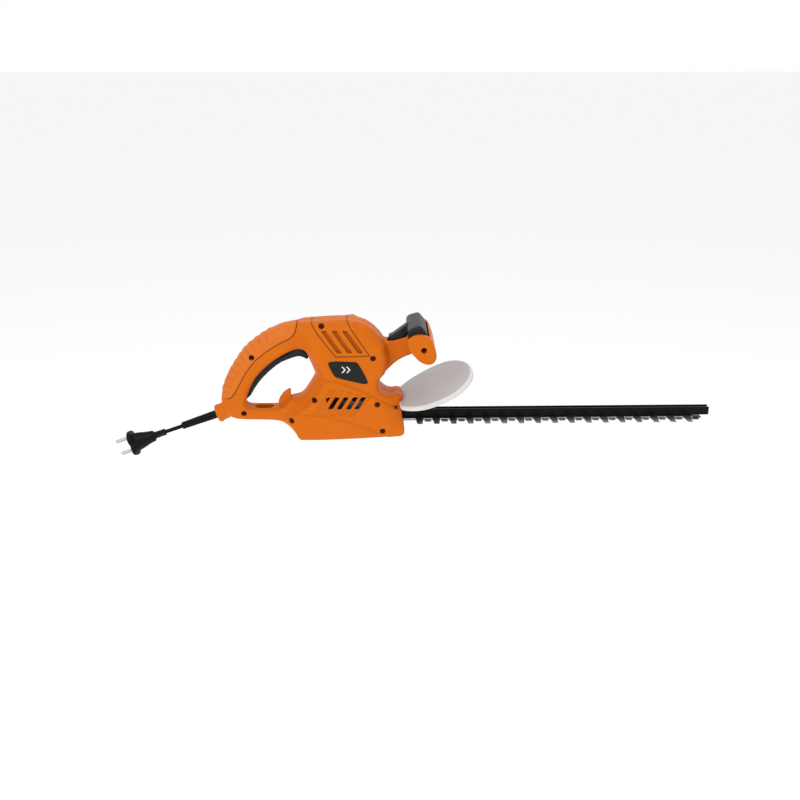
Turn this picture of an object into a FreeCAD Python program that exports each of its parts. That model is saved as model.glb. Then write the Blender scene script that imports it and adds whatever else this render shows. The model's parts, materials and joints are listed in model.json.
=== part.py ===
import FreeCAD, Part
import math
import os

from FreeCAD import Placement, Rotation, Vector
from fcgear import fcgear, involute

# Electric hedge trimmer. Millimetres. +X runs along the blades to their tip, +Z is up, and the
# mid-plane is y = 0. The origin is under the guide rail, where the rail leaves the nose.

DIMENSIONS = [
    ("tooth_pitch", 24.0), ("tooth_count", 17), ("first_tooth", 27.5), ("blade_thickness", 1.5),
    ("blade_gap", 0.2), ("blade_half_width", 11.0), ("long_tooth_reach", 31.5),
    ("short_tooth_reach", 17.0), ("stroke_half", 6.0), ("yoke_half_width", 18.5),
    ("rail_start", -13.0), ("rail_end", 444.0), ("rail_width", 11.4), ("rail_height", 12.0),
    ("rail_wall", 1.8), ("bolt_radius", 2.5), ("spacer_radius", 3.5),
    ("body_half_width", 34.0), ("handle_half_width", 17.5), ("arm_half_width", 15.0),
    ("bar_half_length", 54.0), ("wall", 2.6), ("body_round", 9.0), ("handle_round", 7.0),
    ("neck_radius", 12.0), ("rim_step", 3.0), ("grip_skin", 2.2), ("grip_gap", 0.25),
    ("badge_thickness", 1.4),
    ("screw_recess_radius", 4.0), ("screw_head_radius", 3.4),
    ("screw_shank_radius", 2.0), ("boss_radius", 5.6),
    ("motor_x", -74.0), ("stator_radius", 27.0), ("stator_bore", 16.8), ("armature_radius", 16.0),
    ("shaft_radius", 4.0), ("shaft_tip_radius", 3.0), ("commutator_radius", 10.0),
    ("fan_radius", 24.0), ("gear_module", 0.8), ("gear_teeth", 60), ("pinion_teeth", 12),
    ("gear_height", 8.0), ("gear_shaft_radius", 4.0), ("cam_radius", 8.0), ("running_gap", 0.05),
    ("trigger_half_width", 7.0), ("trigger_pin_radius", 2.0), ("lever_half_width", 42.0),
    ("lever_neck_half_width", 8.5), ("lever_pin_radius", 1.6),
    ("guard_tilt", 24.0), ("guard_plate", 2.6), ("guard_skirt", 10.0), ("guard_half_width", 84.0),
    ("cord_diameter", 5.5), ("cord_tilt", 19.6), ("sleeve_length", 52.0), ("sleeve_radius", 5.6),
    ("sleeve_tip_radius", 4.7), ("plug_pin_radius", 2.4), ("plug_pin_length", 19.0),
    ("plug_pin_spacing", 19.0), ("plug_collar_radius", 18.5),
]

doc = FreeCAD.newDocument("hedge_trimmer")
sheet = doc.addObject("Spreadsheet::Sheet", "dims")
for row, (alias, number) in enumerate(DIMENSIONS, start=1):
    sheet.set(f"A{row}", alias)
    sheet.set(f"B{row}", str(number))
    sheet.setAlias(f"B{row}", alias)
doc.recompute()

sub_parts = []


def size(alias):
    """A driving dimension, as a plain number."""
    return float(sheet.get(alias))


def keep(obj, label):
    """Name an object as a sub-part that is written to a file."""
    obj.Label = label
    sub_parts.append(obj)
    return obj


# ---------------------------------------------------------------- outlines and plain solids

def rounded(corners):
    """Lines and arcs round a closed polygon of (u, v) or (u, v, corner radius)."""
    points = [Vector(c[0], c[1], 0) for c in corners]
    count = len(corners)
    ends = []
    for i, corner in enumerate(corners):
        here, before, after = points[i], points[i - 1], points[(i + 1) % count]
        radius = corner[2] if len(corner) > 2 else 0
        to_before, to_after = (before - here).normalize(), (after - here).normalize()
        half = to_before.getAngle(to_after) / 2
        if radius == 0:
            ends.append((here, None, here))
            continue
        reach = radius / math.tan(half)
        middle = (to_before + to_after).normalize() * (radius / math.sin(half) - radius)
        ends.append((here + to_before * reach, here + middle, here + to_after * reach))
    edges = []
    for i, (start, middle, end) in enumerate(ends):
        if middle is not None:
            edges.append(Part.Arc(start, middle, end))
        following = ends[(i + 1) % count][0]
        if (following - end).Length > 1e-6:
            edges.append(Part.LineSegment(end, following))
    return edges


def circle(u, v, radius):
    return [Part.Circle(Vector(u, v, 0), Vector(0, 0, 1), radius)]


def face_xz(edges, y=0.0):
    """A face in the plane of constant y from edges drawn in (x, z)."""
    wire = Part.Wire(Part.__sortEdges__([edge.toShape() for edge in edges]))
    face = Part.Face(wire)
    face.rotate(Vector(0, 0, 0), Vector(1, 0, 0), 90)
    face.translate(Vector(0, y, 0))
    return face


def slab_xz(edges, half_width, y=0.0):
    """A solid from an (x, z) outline, half_width to each side of y."""
    return face_xz(edges, y - half_width).extrude(Vector(0, 2 * half_width, 0))


def rounded_slab(edges, half_width, radius):
    """A slab whose two flat sides are rounded into its rim."""
    solid = slab_xz(edges, half_width)
    rim = [
        edge for edge in solid.Edges
        if abs(abs(edge.CenterOfMass.y) - half_width) < 1e-3
        and abs(edge.BoundBox.YMax - edge.BoundBox.YMin) < 1e-3
    ]
    return solid.makeFillet(radius, rim)


def rod(radius, start, end):
    """A cylinder between two points."""
    along = end - start
    return Part.makeCylinder(radius, along.Length, start, along)


def rod_y(radius, x, z, y0, y1):
    return rod(radius, Vector(x, y0, z), Vector(x, y1, z))


def block(x0, x1, y0, y1, z0, z1):
    return Part.makeBox(x1 - x0, y1 - y0, z1 - z0, Vector(x0, y0, z0))


def feature(label, shape, at=Vector(0, 0, 0)):
    """A sub-part whose shape is made by Part's own functions, standing at a point."""
    obj = doc.addObject("Part::Feature", label)
    obj.Shape = shape
    obj.Placement = Placement(at, Rotation())
    return keep(obj, label)


# ---------------------------------------------------------------- parametric objects

def bind(obj, **expressions):
    for name, expression in expressions.items():
        obj.setExpression(name, str(expression))
    return obj


def cylinder(name, radius, height, at, direction=Vector(0, 0, 1)):
    """Part::Cylinder bound to the sheet, standing on the point `at`."""
    obj = doc.addObject("Part::Cylinder", name)
    bind(obj, Radius=radius, Height=height)
    obj.Placement = Placement(at, Rotation(Vector(0, 0, 1), direction))
    return obj


def box(name, length, width, height, at):
    obj = doc.addObject("Part::Box", name)
    bind(obj, Length=length, Width=width, Height=height)
    obj.Placement = Placement(at, Rotation())
    return obj


def fuse(name, shapes):
    obj = doc.addObject("Part::MultiFuse", name)
    obj.Shapes = shapes
    obj.Refine = True
    return obj


def cut(name, base, tool):
    obj = doc.addObject("Part::Cut", name)
    obj.Base = base
    obj.Tool = tool
    return obj


def group(name, shapes):
    """Separate solids that share one sub-part, such as a set of screws."""
    obj = doc.addObject("Part::Compound", name)
    obj.Links = shapes
    return keep(obj, name)


def sketch(body, name, role, loops, offset=0.0):
    """A sketch on one of the body's origin planes, moved along the plane's normal."""
    plane = [f for f in body.Origin.OriginFeatures if f.Role == role][0]
    drawing = body.newObject("Sketcher::SketchObject", name)
    drawing.AttachmentSupport = [(plane, "")]
    drawing.MapMode = "FlatFace"
    drawing.AttachmentOffset = Placement(Vector(0, 0, offset), Rotation())
    for loop in loops:
        for edge in loop:
            drawing.addGeometry(edge, False)
    return drawing


def pad(body, drawing, length, symmetric=False, reverse=False):
    step = body.newObject("PartDesign::Pad", drawing.Name + "_pad")
    step.Profile = drawing
    step.SideType = "Symmetric" if symmetric else "One side"
    step.Reversed = reverse
    step.setExpression("Length", str(length))
    drawing.Visibility = False
    return step


def pocket(body, drawing, length, symmetric=False, reverse=False):
    step = body.newObject("PartDesign::Pocket", drawing.Name + "_pocket")
    step.Profile = drawing
    step.SideType = "Symmetric" if symmetric else "One side"
    step.Reversed = reverse
    step.setExpression("Length", str(length))
    return step


def flat_piece(label, loops, thickness, level):
    """A plate cut from sheet: an (x, y) outline padded upwards from z = level."""
    body = doc.addObject("PartDesign::Body", label)
    pad(body, sketch(body, label + "_outline", "XY_Plane", loops, level), thickness)
    return keep(body, label)


def side_piece(label, loops, half_width):
    """A moulded piece: an (x, z) outline padded to both sides of the mid-plane."""
    body = doc.addObject("PartDesign::Body", label)
    pad(body, sketch(body, label + "_outline", "XZ_Plane", loops), f"2 * {half_width}", True)
    return body


# ---------------------------------------------------------------- housing outlines, in (x, z)

BODY = [
    (-142, -26, 5), (-70, -26, 60), (3, -21.5, 9), (5.5, -4, 8), (-1.5, 20, 3), (3.5, 33, 4),
    (1.5, 42, 5), (-6, 45.5, 4), (-18, 41, 12), (-31.5, 49, 9), (-31.5, 64, 9), (-20, 75, 8),
    (-16, 90, 8), (-23, 116.5, 5), (-43, 140, 8), (-67, 148.5, 14), (-108, 148, 60),
    (-139, 144, 6), (-146, 118, 10), (-130, 101, 9), (-118.5, 67, 3), (-140, 33, 5),
    (-158, 26, 6), (-164, 8, 6), (-162, -4, 5), (-149, -11, 14),
]
OPENING = [
    (-219, 28, 5), (-206, 59, 30), (-179, 86, 30), (-146, 103.5, 11), (-130.5, 98, 9),
    (-118.5, 67, 2), (-140, 32, 6), (-160, 17.5, 8), (-216, 17.5, 6),
]
ARM = [
    (-32, 76, 2), (-18, 78, 4), (3, 93, 12), (20, 99, 4), (22, 124, 2), (6, 119.5, 3),
    (-15, 113.5, 3), (-34, 119, 2),
]
BAR = [
    (10, 124, 4), (15, 130, 6), (29, 132, 12), (41, 129.5, 9), (47, 113, 20), (49.5, 101, 9),
    (41, 91, 9), (29, 94.5, 12), (17, 109, 14),
]
VENT_TOPS = (-88.0, -75.5, -62.5, -52.0)
VENT_LEAN = 10.5
CASE_SIDE = 26.8
# x, z, the half width there, and the depth of the recess
SCREWS = [
    (-207.0, 93.2, "handle_half_width", 7.0), (-221.0, 11.0, "handle_half_width", 7.0),
    (-153.0, 4.0, "body_half_width", 7.0), (-108.8, 139.5, "body_half_width", 7.0),
    (-38.0, 95.0, "body_half_width", 7.0), (-120.0, 35.0, "body_half_width", 7.0),
    (31.6, 111.7, "bar_half_length", 25.0),
]
# x, z of the short screws that go into the gear case from each side
CASE_SCREWS = [(-32.4, 28.5), (-25.2, -11.0)]
CASE_RECESS = 3.5
GUARD_SCREW = (-6.0, 22.2)
SCREW_REACH = 9.0
PIN_REACH = 13.7
CLAMP_S = -24.0
CLAMP_SCREW_Y = 6.8
BADGE = [(-100, 92, 4), (-60, 91, 5), (-44, 61, 5), (-54, 60, 4), (-92, 69.5, 6)]
GRIP = [
    (-262, 33, 2), (-243, 33, 6), (-232, 43, 10), (-215, 72, 30), (-176, 108, 40),
    (-147, 123, 12), (-142, 152, 2), (-200, 160, 2), (-264, 100, 2),
]
NECK_START = Vector(-231, 0, 16.4)


def arc_through(start, middle, end):
    return Part.Arc(Vector(*start, 0), Vector(*middle, 0), Vector(*end, 0))


def frame_outline():
    """The rear handle with its lower bar, as one closed outline in (x, z)."""
    lower_left, shoulder, crown = (-253.5, 28), (-217.5, 103), (-145, 143.6)
    return [
        arc_through(lower_left, (-241.2, 69), shoulder),
        arc_through(shoulder, (-184.5, 128.6), crown),
        Part.LineSegment(Vector(*crown, 0), Vector(-112, 146, 0)),
        Part.LineSegment(Vector(-112, 146, 0), Vector(-104, 40, 0)),
        Part.LineSegment(Vector(-104, 40, 0), Vector(-128, -6, 0)),
        Part.LineSegment(Vector(-128, -6, 0), Vector(-163, -2, 0)),
        Part.LineSegment(Vector(-163, -2, 0), Vector(-185, 0.3, 0)),
        Part.LineSegment(Vector(-185, 0.3, 0), Vector(-238, 2.5, 0)),
        arc_through((-238, 2.5), (-249.5, 11), lower_left),
    ]


def cord_direction():
    """Unit vector down the neck, sleeve, cord and plug, away from the handle."""
    tilt = math.radians(size("cord_tilt"))
    return Vector(-math.cos(tilt), 0, -math.sin(tilt))


def along_cord(distance):
    """A point on the cord's line, measured from the neck's mouth."""
    return Vector(-262.5, 0, 5.2) + cord_direction() * distance


# ---------------------------------------------------------------- housing halves

def inset_slab(edges, half_width, inset):
    """A slab lying inside a moulding by the inset, stepped at its rim to follow rounded edges."""
    step = size("rim_step")
    pieces = []
    for shrink, half in ((inset, half_width - inset - step), (inset + step, half_width - inset)):
        face = face_xz(edges).makeOffset2D(-shrink)
        face.translate(Vector(0, -half, 0))
        pieces.append(face.extrude(Vector(0, 2 * half, 0)))
    return pieces[0].fuse(pieces[1])


def handle_blank():
    outline = rounded_slab(frame_outline(), size("handle_half_width"), size("handle_round"))
    opening = slab_xz(rounded(OPENING), 60)
    return outline.cut(opening)


def neck_tube(radius, reach):
    return rod(radius, NECK_START, along_cord(reach))


def housing_blank():
    """Both halves of the housing as one solid block, before it is hollowed."""
    body = rounded_slab(rounded(BODY), size("body_half_width"), size("body_round"))
    arm = slab_xz(rounded(ARM), size("arm_half_width"))
    bar = rounded_slab(rounded(BAR), size("bar_half_length"), 3)
    blank = body.fuse([handle_blank(), arm, bar, neck_tube(size("neck_radius"), 0)])
    return blank.removeSplitter()


def housing_hollow():
    """Everything that is taken out of the block behind its walls."""
    wall = size("wall")
    opening = face_xz(rounded(OPENING)).makeOffset2D(wall)
    opening.translate(Vector(0, -60, 0))
    ring = inset_slab(frame_outline(), size("handle_half_width"), wall + size("grip_skin"))
    ring = ring.cut(opening.extrude(Vector(0, 120, 0)))
    body = inset_slab(rounded(BODY), size("body_half_width"), wall)
    arm = slab_xz(rounded(ARM), size("arm_half_width") - wall)
    arm = arm.common(slab_xz(rounded([(-40, 80), (25, 103), (25, 116), (-40, 111)]), 40))
    bar = inset_slab(rounded(BAR), size("bar_half_length"), wall)
    neck = neck_tube(size("neck_radius") - wall, -6)
    return [body, ring, arm, bar, neck]


def vents():
    """Slanted air slots through both flanks, low on the body."""
    slots = []
    for x in VENT_TOPS:
        corners = [(x - 3.2, 39.6), (x + 3.2, 39.6), (x + 3.2 - VENT_LEAN, 22.4),
                   (x - 3.2 - VENT_LEAN, 22.4)]
        slots.append(slab_xz(rounded(corners), 60))
    return slots


def housing_cuts():
    """Holes and pockets through the walls."""
    half = size("lever_half_width") + 0.6
    blade_mouth = block(-20, 12, -12.6, 12.6, -5.6, 12.6)
    lever_pocket = slab_xz(rounded([(8, 123), (39.5, 123), (39.5, 140), (8, 140)]), half)
    lever_throat = slab_xz(rounded([(-17, 104), (0, 104), (14, 116), (14, 130), (-17, 122)]),
                           size("lever_neck_half_width") + 0.6)
    trigger_slot = slab_xz(rounded([
        (-226, 27, 2), (-214, 27, 2), (-203, 48, 20), (-170, 81, 20), (-131, 88, 2),
        (-123, 88, 2), (-126, 104, 4), (-146, 112, 8), (-184, 99, 30), (-214, 64, 30),
        (-227, 40, 3)]), size("trigger_half_width") + 0.6)
    sleeve_bore = rod(size("sleeve_radius") + 0.1, along_cord(-16), along_cord(6))
    cord_loop = slab_loop(-193, 14, 10.5)
    guard_slot = slab_xz(rounded([(-12, 17.6), (8, 26.5), (8, 30.6), (-12, 21.7)]), 22.6)
    return [blade_mouth, lever_pocket, lever_throat, trigger_slot, sleeve_bore, cord_loop,
            guard_slot]


def slab_loop(x, half_length, half_width):
    """An upright oval hole through the lower bar."""
    reach = half_length - half_width
    middle = block(x - reach, x + reach, -half_width, half_width, -8, 30)
    ends = [rod(half_width, Vector(x + s * reach, 0, -8), Vector(x + s * reach, 0, 30))
            for s in (-1, 1)]
    return middle.fuse(ends)


def cord_loop_wall():
    """The tube of wall round the oval hole, inside the hollow bar."""
    return slab_loop(-193, 15.6, 12.1).common(block(-215, -170, -20, 20, 1, 17))


def hook():
    """The curved fin on the lower bar that an extension lead's loop hangs on."""
    fin = [
        arc_through((-174, 14), (-168.5, 34), (-155.3, 43.4)),
        Part.LineSegment(Vector(-155.3, 43.4, 0), Vector(-155.3, 14, 0)),
        Part.LineSegment(Vector(-155.3, 14, 0), Vector(-174, 14, 0)),
    ]
    return slab_xz(fin, 4.5)


def screw_boss(x, z, half_width, start, side):
    return rod_y(size("boss_radius"), x, z, side * start, side * (half_width - 1.2))


def screw_holes(x, z, half_width, depth, start, side):
    """The recess for a screw's head and the bore for its shank, on one side."""
    mouth = side * (half_width + 1)
    recess = rod_y(size("screw_recess_radius"), x, z, side * (half_width - depth), mouth)
    bore = rod_y(size("screw_shank_radius") + 0.2, x, z, side * start, mouth)
    return [recess, bore]


def clamp_post(side):
    """The post that the cord clamp's screw goes into."""
    aside = Vector(0, side * CLAMP_SCREW_Y, 0)
    return rod(3.0, on_cord(CLAMP_S, -8) + aside, on_cord(CLAMP_S, 2.75) + aside)


def housing_half(label, side):
    """One shell of the housing: side -1 is the right hand half, +1 the left."""
    blank = housing_blank()
    half_space = block(-300, 80, min(0, side * 90), max(0, side * 90), -60, 170)
    half = blank.cut(housing_hollow()).common(half_space)
    body_half, case_start = size("body_half_width"), CASE_SIDE + 0.1
    added = [screw_boss(x, z, size(width), 0, side) for x, z, width, depth in SCREWS]
    added += [screw_boss(x, z, body_half, case_start, side) for x, z in CASE_SCREWS]
    added.append(rod_y(4.5, *TRIGGER_PIVOT, side * 7.9, side * 16))
    added += [clamp_post(side), cord_loop_wall(), block(-176, -164, -16, 16, 116.7, 119)]
    added = [piece.common(blank).common(half_space) for piece in added]
    half = half.fuse(added + [hook().common(half_space)])
    holes = housing_cuts() + vents()
    for x, z, width, depth in SCREWS:
        if side < 0:
            holes += screw_holes(x, z, size(width), depth, 0, side)
        else:
            holes.append(rod_y(size("screw_shank_radius") + 0.2, x, z, 0, SCREW_REACH + 1))
    for x, z in CASE_SCREWS:
        holes += screw_holes(x, z, body_half, CASE_RECESS, case_start - 1, side)
    holes.append(rod_y(1.75, *GUARD_SCREW, side * 15, side * 40))
    holes.append(rod_y(size("trigger_pin_radius") + 0.02, *TRIGGER_PIVOT, 0, side * PIN_REACH))
    holes.append(rod_y(size("lever_pin_radius") + 0.02, *LEVER_PIVOT, 0, side * PIN_REACH))
    screw_line = Vector(0, side * CLAMP_SCREW_Y, 0)
    holes.append(rod(1.42, on_cord(CLAMP_S, -6.2) + screw_line, on_cord(CLAMP_S, 4) + screw_line))
    holes += [badge_blank(side, 0.15), grip_blank(side, size("grip_gap"))]
    for hole in holes:
        half = half.cut(hole)
    return feature(label, max(half.Solids, key=lambda solid: solid.Volume))


def badge_blank(side, grow):
    """The raised name-plate area on one flank."""
    face = face_xz(rounded(BADGE))
    if grow:
        face = face.makeOffset2D(grow)
    outer = size("body_half_width") + 0.5
    depth = size("badge_thickness") + grow
    face.translate(Vector(0, side * (outer - depth), 0))
    return face.extrude(Vector(0, side * (depth + grow), 0))


def grip_blank(side, grow):
    """The soft skin wrapped over one half of the rear handle's back."""
    skin = size("grip_skin") + grow
    reach = slab_xz(rounded(GRIP), 60)
    if grow:
        reach = face_xz(rounded(GRIP)).makeOffset2D(grow)
        reach.translate(Vector(0, -60, 0))
        reach = reach.extrude(Vector(0, 120, 0))
    outer = rounded_slab(frame_outline(), size("handle_half_width"), size("handle_round"))
    if grow:
        outer = slab_xz(frame_outline(), 60)
    inner = inset_slab(frame_outline(), size("handle_half_width"), skin)
    gap = 0.1 if grow == 0 else 0.0
    half_space = block(-300, -100, min(side * gap, side * 90), max(side * gap, side * 90), -60, 200)
    return outer.common(reach).cut(inner).common(half_space)


def add_housing():
    housing_half("right_housing", -1)
    housing_half("left_housing", 1)
    for name, side in (("right", -1), ("left", 1)):
        skin = grip_blank(side, 0)
        x, z = SCREWS[0][0], SCREWS[0][1]
        skin = skin.cut(rod_y(size("screw_recess_radius"), x, z, -60, 60))
        feature(name + "_grip_pad", max(skin.Solids, key=lambda solid: solid.Volume))
        feature(name + "_badge", badge_blank(side, 0))


def pan_screw(name, seat, reach, x, z, side):
    """A pan-head screw that enters from one side and ends `reach` beyond its seat."""
    head = cylinder(name + "_head", "dims.screw_head_radius", 2.4, Vector(x, side * seat, z),
                    Vector(0, side, 0))
    shank = cylinder(name + "_shank", "dims.screw_shank_radius", reach, Vector(x, side * seat, z),
                     Vector(0, -side, 0))
    return fuse(name, [head, shank])


def add_housing_screws():
    """Long screws from the right into the left half, and short ones into the gear case."""
    screws = []
    for i, (x, z, width, depth) in enumerate(SCREWS):
        seat = size(width) - depth
        screws.append(pan_screw(f"screw_{i}", seat, seat + SCREW_REACH, x, z, -1))
    for i, (x, z) in enumerate(CASE_SCREWS):
        for name, side in (("right", -1), ("left", 1)):
            seat = size("body_half_width") - CASE_RECESS
            screws.append(pan_screw(f"{name}_case_screw_{i}", seat, 7, x, z, side))
    group("housing_screws", screws)
    x, z = GUARD_SCREW
    pins = [cylinder(f"guard_screw_{i}", 1.5, 14, Vector(x, side * 31, z), Vector(0, -side, 0))
            for i, side in enumerate((-1, 1))]
    group("guard_screws", pins)


# ---------------------------------------------------------------- blades and rail

BOLT_STATIONS = (51.5, 147.5, 243.5, 339.5, 399.5)
RAIL_SCREW_X = -6.0
SHAFT_X_OFFSET = 28.95


def gear_x():
    return size("motor_x") + SHAFT_X_OFFSET


def tooth(x, reach, root_width, tip_width, side):
    """One trapezoid tooth in plan, from inside the blade's edge out to its tip."""
    root = side * (size("blade_half_width") - 2)
    tip = side * reach
    return [(x - root_width / 2, root), (x - tip_width / 2, tip), (x + tip_width / 2, tip),
            (x + root_width / 2, root)]


def ground_bevel(reach, bevel_start, top, side):
    """The wedge ground off the upper face of a row of teeth."""
    thickness = size("blade_thickness")
    low = top - thickness * 0.72
    start = Vector(0, side * bevel_start, top + 0.01)
    corners = [start, Vector(0, side * (reach + 1), low), Vector(0, side * (reach + 1), top + 1),
               Vector(0, side * bevel_start, top + 1), start]
    wedge = Part.Face(Part.makePolygon(corners))
    return wedge.extrude(Vector(size("rail_end") + 20, 0, 0))


def blade(label, level, reach, root_width, tip_width, first, bevel_start):
    """A reciprocating blade: a slotted strip with teeth on both sides and a yoke at the rear.

    The yoke's window clears the cam's whole orbit wherever the blade is in its stroke."""
    thickness, half = size("blade_thickness"), size("blade_half_width")
    end = first + size("tooth_pitch") * (size("tooth_count") - 1) + 9
    strip = block(-20, end, -half, half, level, level + thickness)
    pieces = []
    for k in range(int(size("tooth_count"))):
        for side in (-1, 1):
            corners = tooth(first + k * size("tooth_pitch"), reach, root_width, tip_width, side)
            wire = Part.makePolygon([Vector(u, v, level) for u, v in corners + corners[:1]])
            pieces.append(Part.Face(wire).extrude(Vector(0, 0, thickness)))
    yoke_half = size("yoke_half_width")
    yoke = rounded([(gear_x() - 25, -yoke_half, 8), (gear_x() + 25, -yoke_half, 8),
                    (gear_x() + 33, -half, 4), (gear_x() + 33, half, 4),
                    (gear_x() + 25, yoke_half, 8), (gear_x() - 25, yoke_half, 8)])
    yoke_face = Part.Face(Part.Wire(Part.__sortEdges__([edge.toShape() for edge in yoke])))
    yoke_face.translate(Vector(0, 0, level))
    solid = strip.fuse(pieces + [yoke_face.extrude(Vector(0, 0, thickness))])
    wide = size("cam_radius") + size("stroke_half") + 0.6
    long = wide + size("stroke_half")
    window = rounded([(gear_x() - long, -wide, 7), (gear_x() + long, -wide, 7),
                      (gear_x() + long, wide, 7), (gear_x() - long, wide, 7)])
    window_face = Part.Face(Part.Wire(Part.__sortEdges__([edge.toShape() for edge in window])))
    window_face.translate(Vector(0, 0, level - 1))
    cuts = [window_face.extrude(Vector(0, 0, thickness + 2))]
    slot_half = size("spacer_radius") + 0.35
    travel = size("stroke_half") + 0.3
    for x in BOLT_STATIONS:
        cuts.append(block(x - travel, x + travel, -slot_half, slot_half, level - 1, level + 3))
        for s in (-1, 1):
            centre = Vector(x + s * travel, 0, level - 1)
            cuts.append(Part.makeCylinder(slot_half, 4, centre))
    cuts += [ground_bevel(reach, bevel_start, level + thickness, side) for side in (-1, 1)]
    return feature(label, solid.cut(cuts).removeSplitter())


def add_blades():
    gap, thickness = size("blade_gap"), size("blade_thickness")
    upper_level = -gap - thickness
    lower_level = upper_level - gap - thickness
    first, pitch = size("first_tooth"), size("tooth_pitch")
    blade("upper_blade", upper_level, size("long_tooth_reach"), 11.6, 7.2, first, 13)
    blade("lower_blade", lower_level, size("short_tooth_reach"), 11.0, 8.0, first + pitch / 2, 8.5)


def add_rail():
    """The U-shaped guide rail above the blades, open at the top."""
    body = doc.addObject("PartDesign::Body", "blade_rail")
    w, tall, wall = size("rail_width") / 2, size("rail_height"), size("rail_wall")
    section = [(-w, 0, 1), (w, 0, 1), (w, tall), (w - wall, tall), (w - wall, wall, 0.8),
               (wall - w, wall, 0.8), (wall - w, tall), (-w, tall)]
    drawing = sketch(body, "rail_section", "YZ_Plane", [rounded(section)], size("rail_start"))
    pad(body, drawing, "dims.rail_end - dims.rail_start")
    holes = [circle(x, 0, size("bolt_radius") + 0.1) for x in BOLT_STATIONS + (RAIL_SCREW_X,)]
    bores = sketch(body, "rail_bores", "XY_Plane", holes, wall + 1)
    pocket(body, bores, "dims.rail_wall + 2")
    keep(body, "blade_rail")


def add_blade_bolts():
    """Bolts up through both blades and the rail, with their spacers and nuts."""
    bottom = -2 * (size("blade_gap") + size("blade_thickness")) - 0.3
    bolts, spacers, nuts = [], [], []
    for i, x in enumerate(BOLT_STATIONS):
        head = cylinder(f"bolt_head_{i}", 5.4, 1.8, Vector(x, 0, bottom), Vector(0, 0, -1))
        shank = cylinder(f"bolt_shank_{i}", "dims.bolt_radius", 10.5, Vector(x, 0, bottom))
        bolts.append(fuse(f"bolt_{i}", [head, shank]))
        sleeve = cylinder(f"spacer_outer_{i}", "dims.spacer_radius", -bottom, Vector(x, 0, bottom))
        bore = cylinder(f"spacer_bore_{i}", "dims.bolt_radius + 0.02", 8,
                        Vector(x, 0, bottom - 1))
        spacers.append(cut(f"spacer_{i}", sleeve, bore))
        hexagon = doc.addObject("Part::Prism", f"nut_hex_{i}")
        hexagon.Polygon = 6
        bind(hexagon, Circumradius="dims.rail_width / 2 - dims.rail_wall - 0.2", Height=4)
        hexagon.Placement = Placement(Vector(x, 0, size("rail_wall")), Rotation())
        thread = cylinder(f"nut_bore_{i}", "dims.bolt_radius + 0.02", 8,
                          Vector(x, 0, size("rail_wall") - 1))
        nuts.append(cut(f"nut_{i}", hexagon, thread))
    group("blade_bolts", bolts)
    group("blade_spacers", spacers)
    group("blade_nuts", nuts)


# ---------------------------------------------------------------- gearbox

PLATE_LEVEL = 12.4
PLATE_THICKNESS = 3.6
GEAR_LEVEL = 18.5
BASE_LEVEL = -13.4
BASE_THICKNESS = 4.8
COLUMNS = [(x, y) for x in (-66.0, -20.0) for y in (-22.6, 22.6)]


def add_gear_plates():
    side = CASE_SIDE
    plate = [(-92, -side, 10), (-12, -side, 6), (-3.4, -12, 4), (-3.4, 12, 4), (-12, side, 6),
             (-92, side, 10)]
    holes = [circle(gear_x(), 0, 16.5), circle(size("motor_x"), 0, 8), circle(RAIL_SCREW_X, 0, 1.9)]
    holes += [circle(x, y, 2.1) for x, y in COLUMNS]
    flat_piece("gearbox_plate", [rounded(plate)] + holes, PLATE_THICKNESS, PLATE_LEVEL)
    base = [(-72, -side, 6), (-13, -side, 6), (-13, side, 6), (-72, side, 6)]
    base_holes = [circle(gear_x(), 0, 7)] + [circle(x, y, 2.1) for x, y in COLUMNS]
    flat_piece("gearbox_base", [rounded(base)] + base_holes, BASE_THICKNESS,
               BASE_LEVEL)
    tubes, screws = [], []
    for i, (x, y) in enumerate(COLUMNS):
        foot = BASE_LEVEL + BASE_THICKNESS
        outer = cylinder(f"column_outer_{i}", 3.2, PLATE_LEVEL - foot, Vector(x, y, foot))
        inner = cylinder(f"column_inner_{i}", 2.1, PLATE_LEVEL - foot, Vector(x, y, foot))
        tubes.append(cut(f"column_{i}", outer, inner))
        head = cylinder(f"case_screw_head_{i}", 3.4, 2.4, Vector(x, y, BASE_LEVEL),
                        Vector(0, 0, -1))
        shank = cylinder(f"case_screw_shank_{i}", 2, 29.2, Vector(x, y, BASE_LEVEL))
        screws.append(fuse(f"case_screw_{i}", [head, shank]))
    group("gearbox_columns", tubes)
    group("gearbox_screws", screws)
    head = cylinder("rail_screw_head", 2.5, 2.2, Vector(RAIL_SCREW_X, 0, PLATE_LEVEL + PLATE_THICKNESS))
    shank = cylinder("rail_screw_shank", 1.8, PLATE_LEVEL + PLATE_THICKNESS,
                     Vector(RAIL_SCREW_X, 0, 0))
    keep(fuse("rail_screw", [head, shank]), "rail_screw")
    outer = cylinder("rail_spacer_outer", 3.1, PLATE_LEVEL - size("rail_wall"),
                     Vector(RAIL_SCREW_X, 0, size("rail_wall")))
    inner = cylinder("rail_spacer_inner", 1.9, 20, Vector(RAIL_SCREW_X, 0, 0))
    keep(cut("rail_spacer", outer, inner), "rail_spacer")


def case_outline(grow):
    """The cover's plan: round over the gear, narrower over the pinion."""
    gear_side, pinion_end = gear_x() + 28.5 + grow, size("motor_x") - 15 - grow
    half = CASE_SIDE + grow
    return [(pinion_end, -17 - grow, 9), (gear_x() - 26 - grow, -half, 10),
            (gear_side, -half, 12), (gear_side, half, 12), (gear_x() - 26 - grow, half, 10),
            (pinion_end, 17 + grow, 9)]


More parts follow.
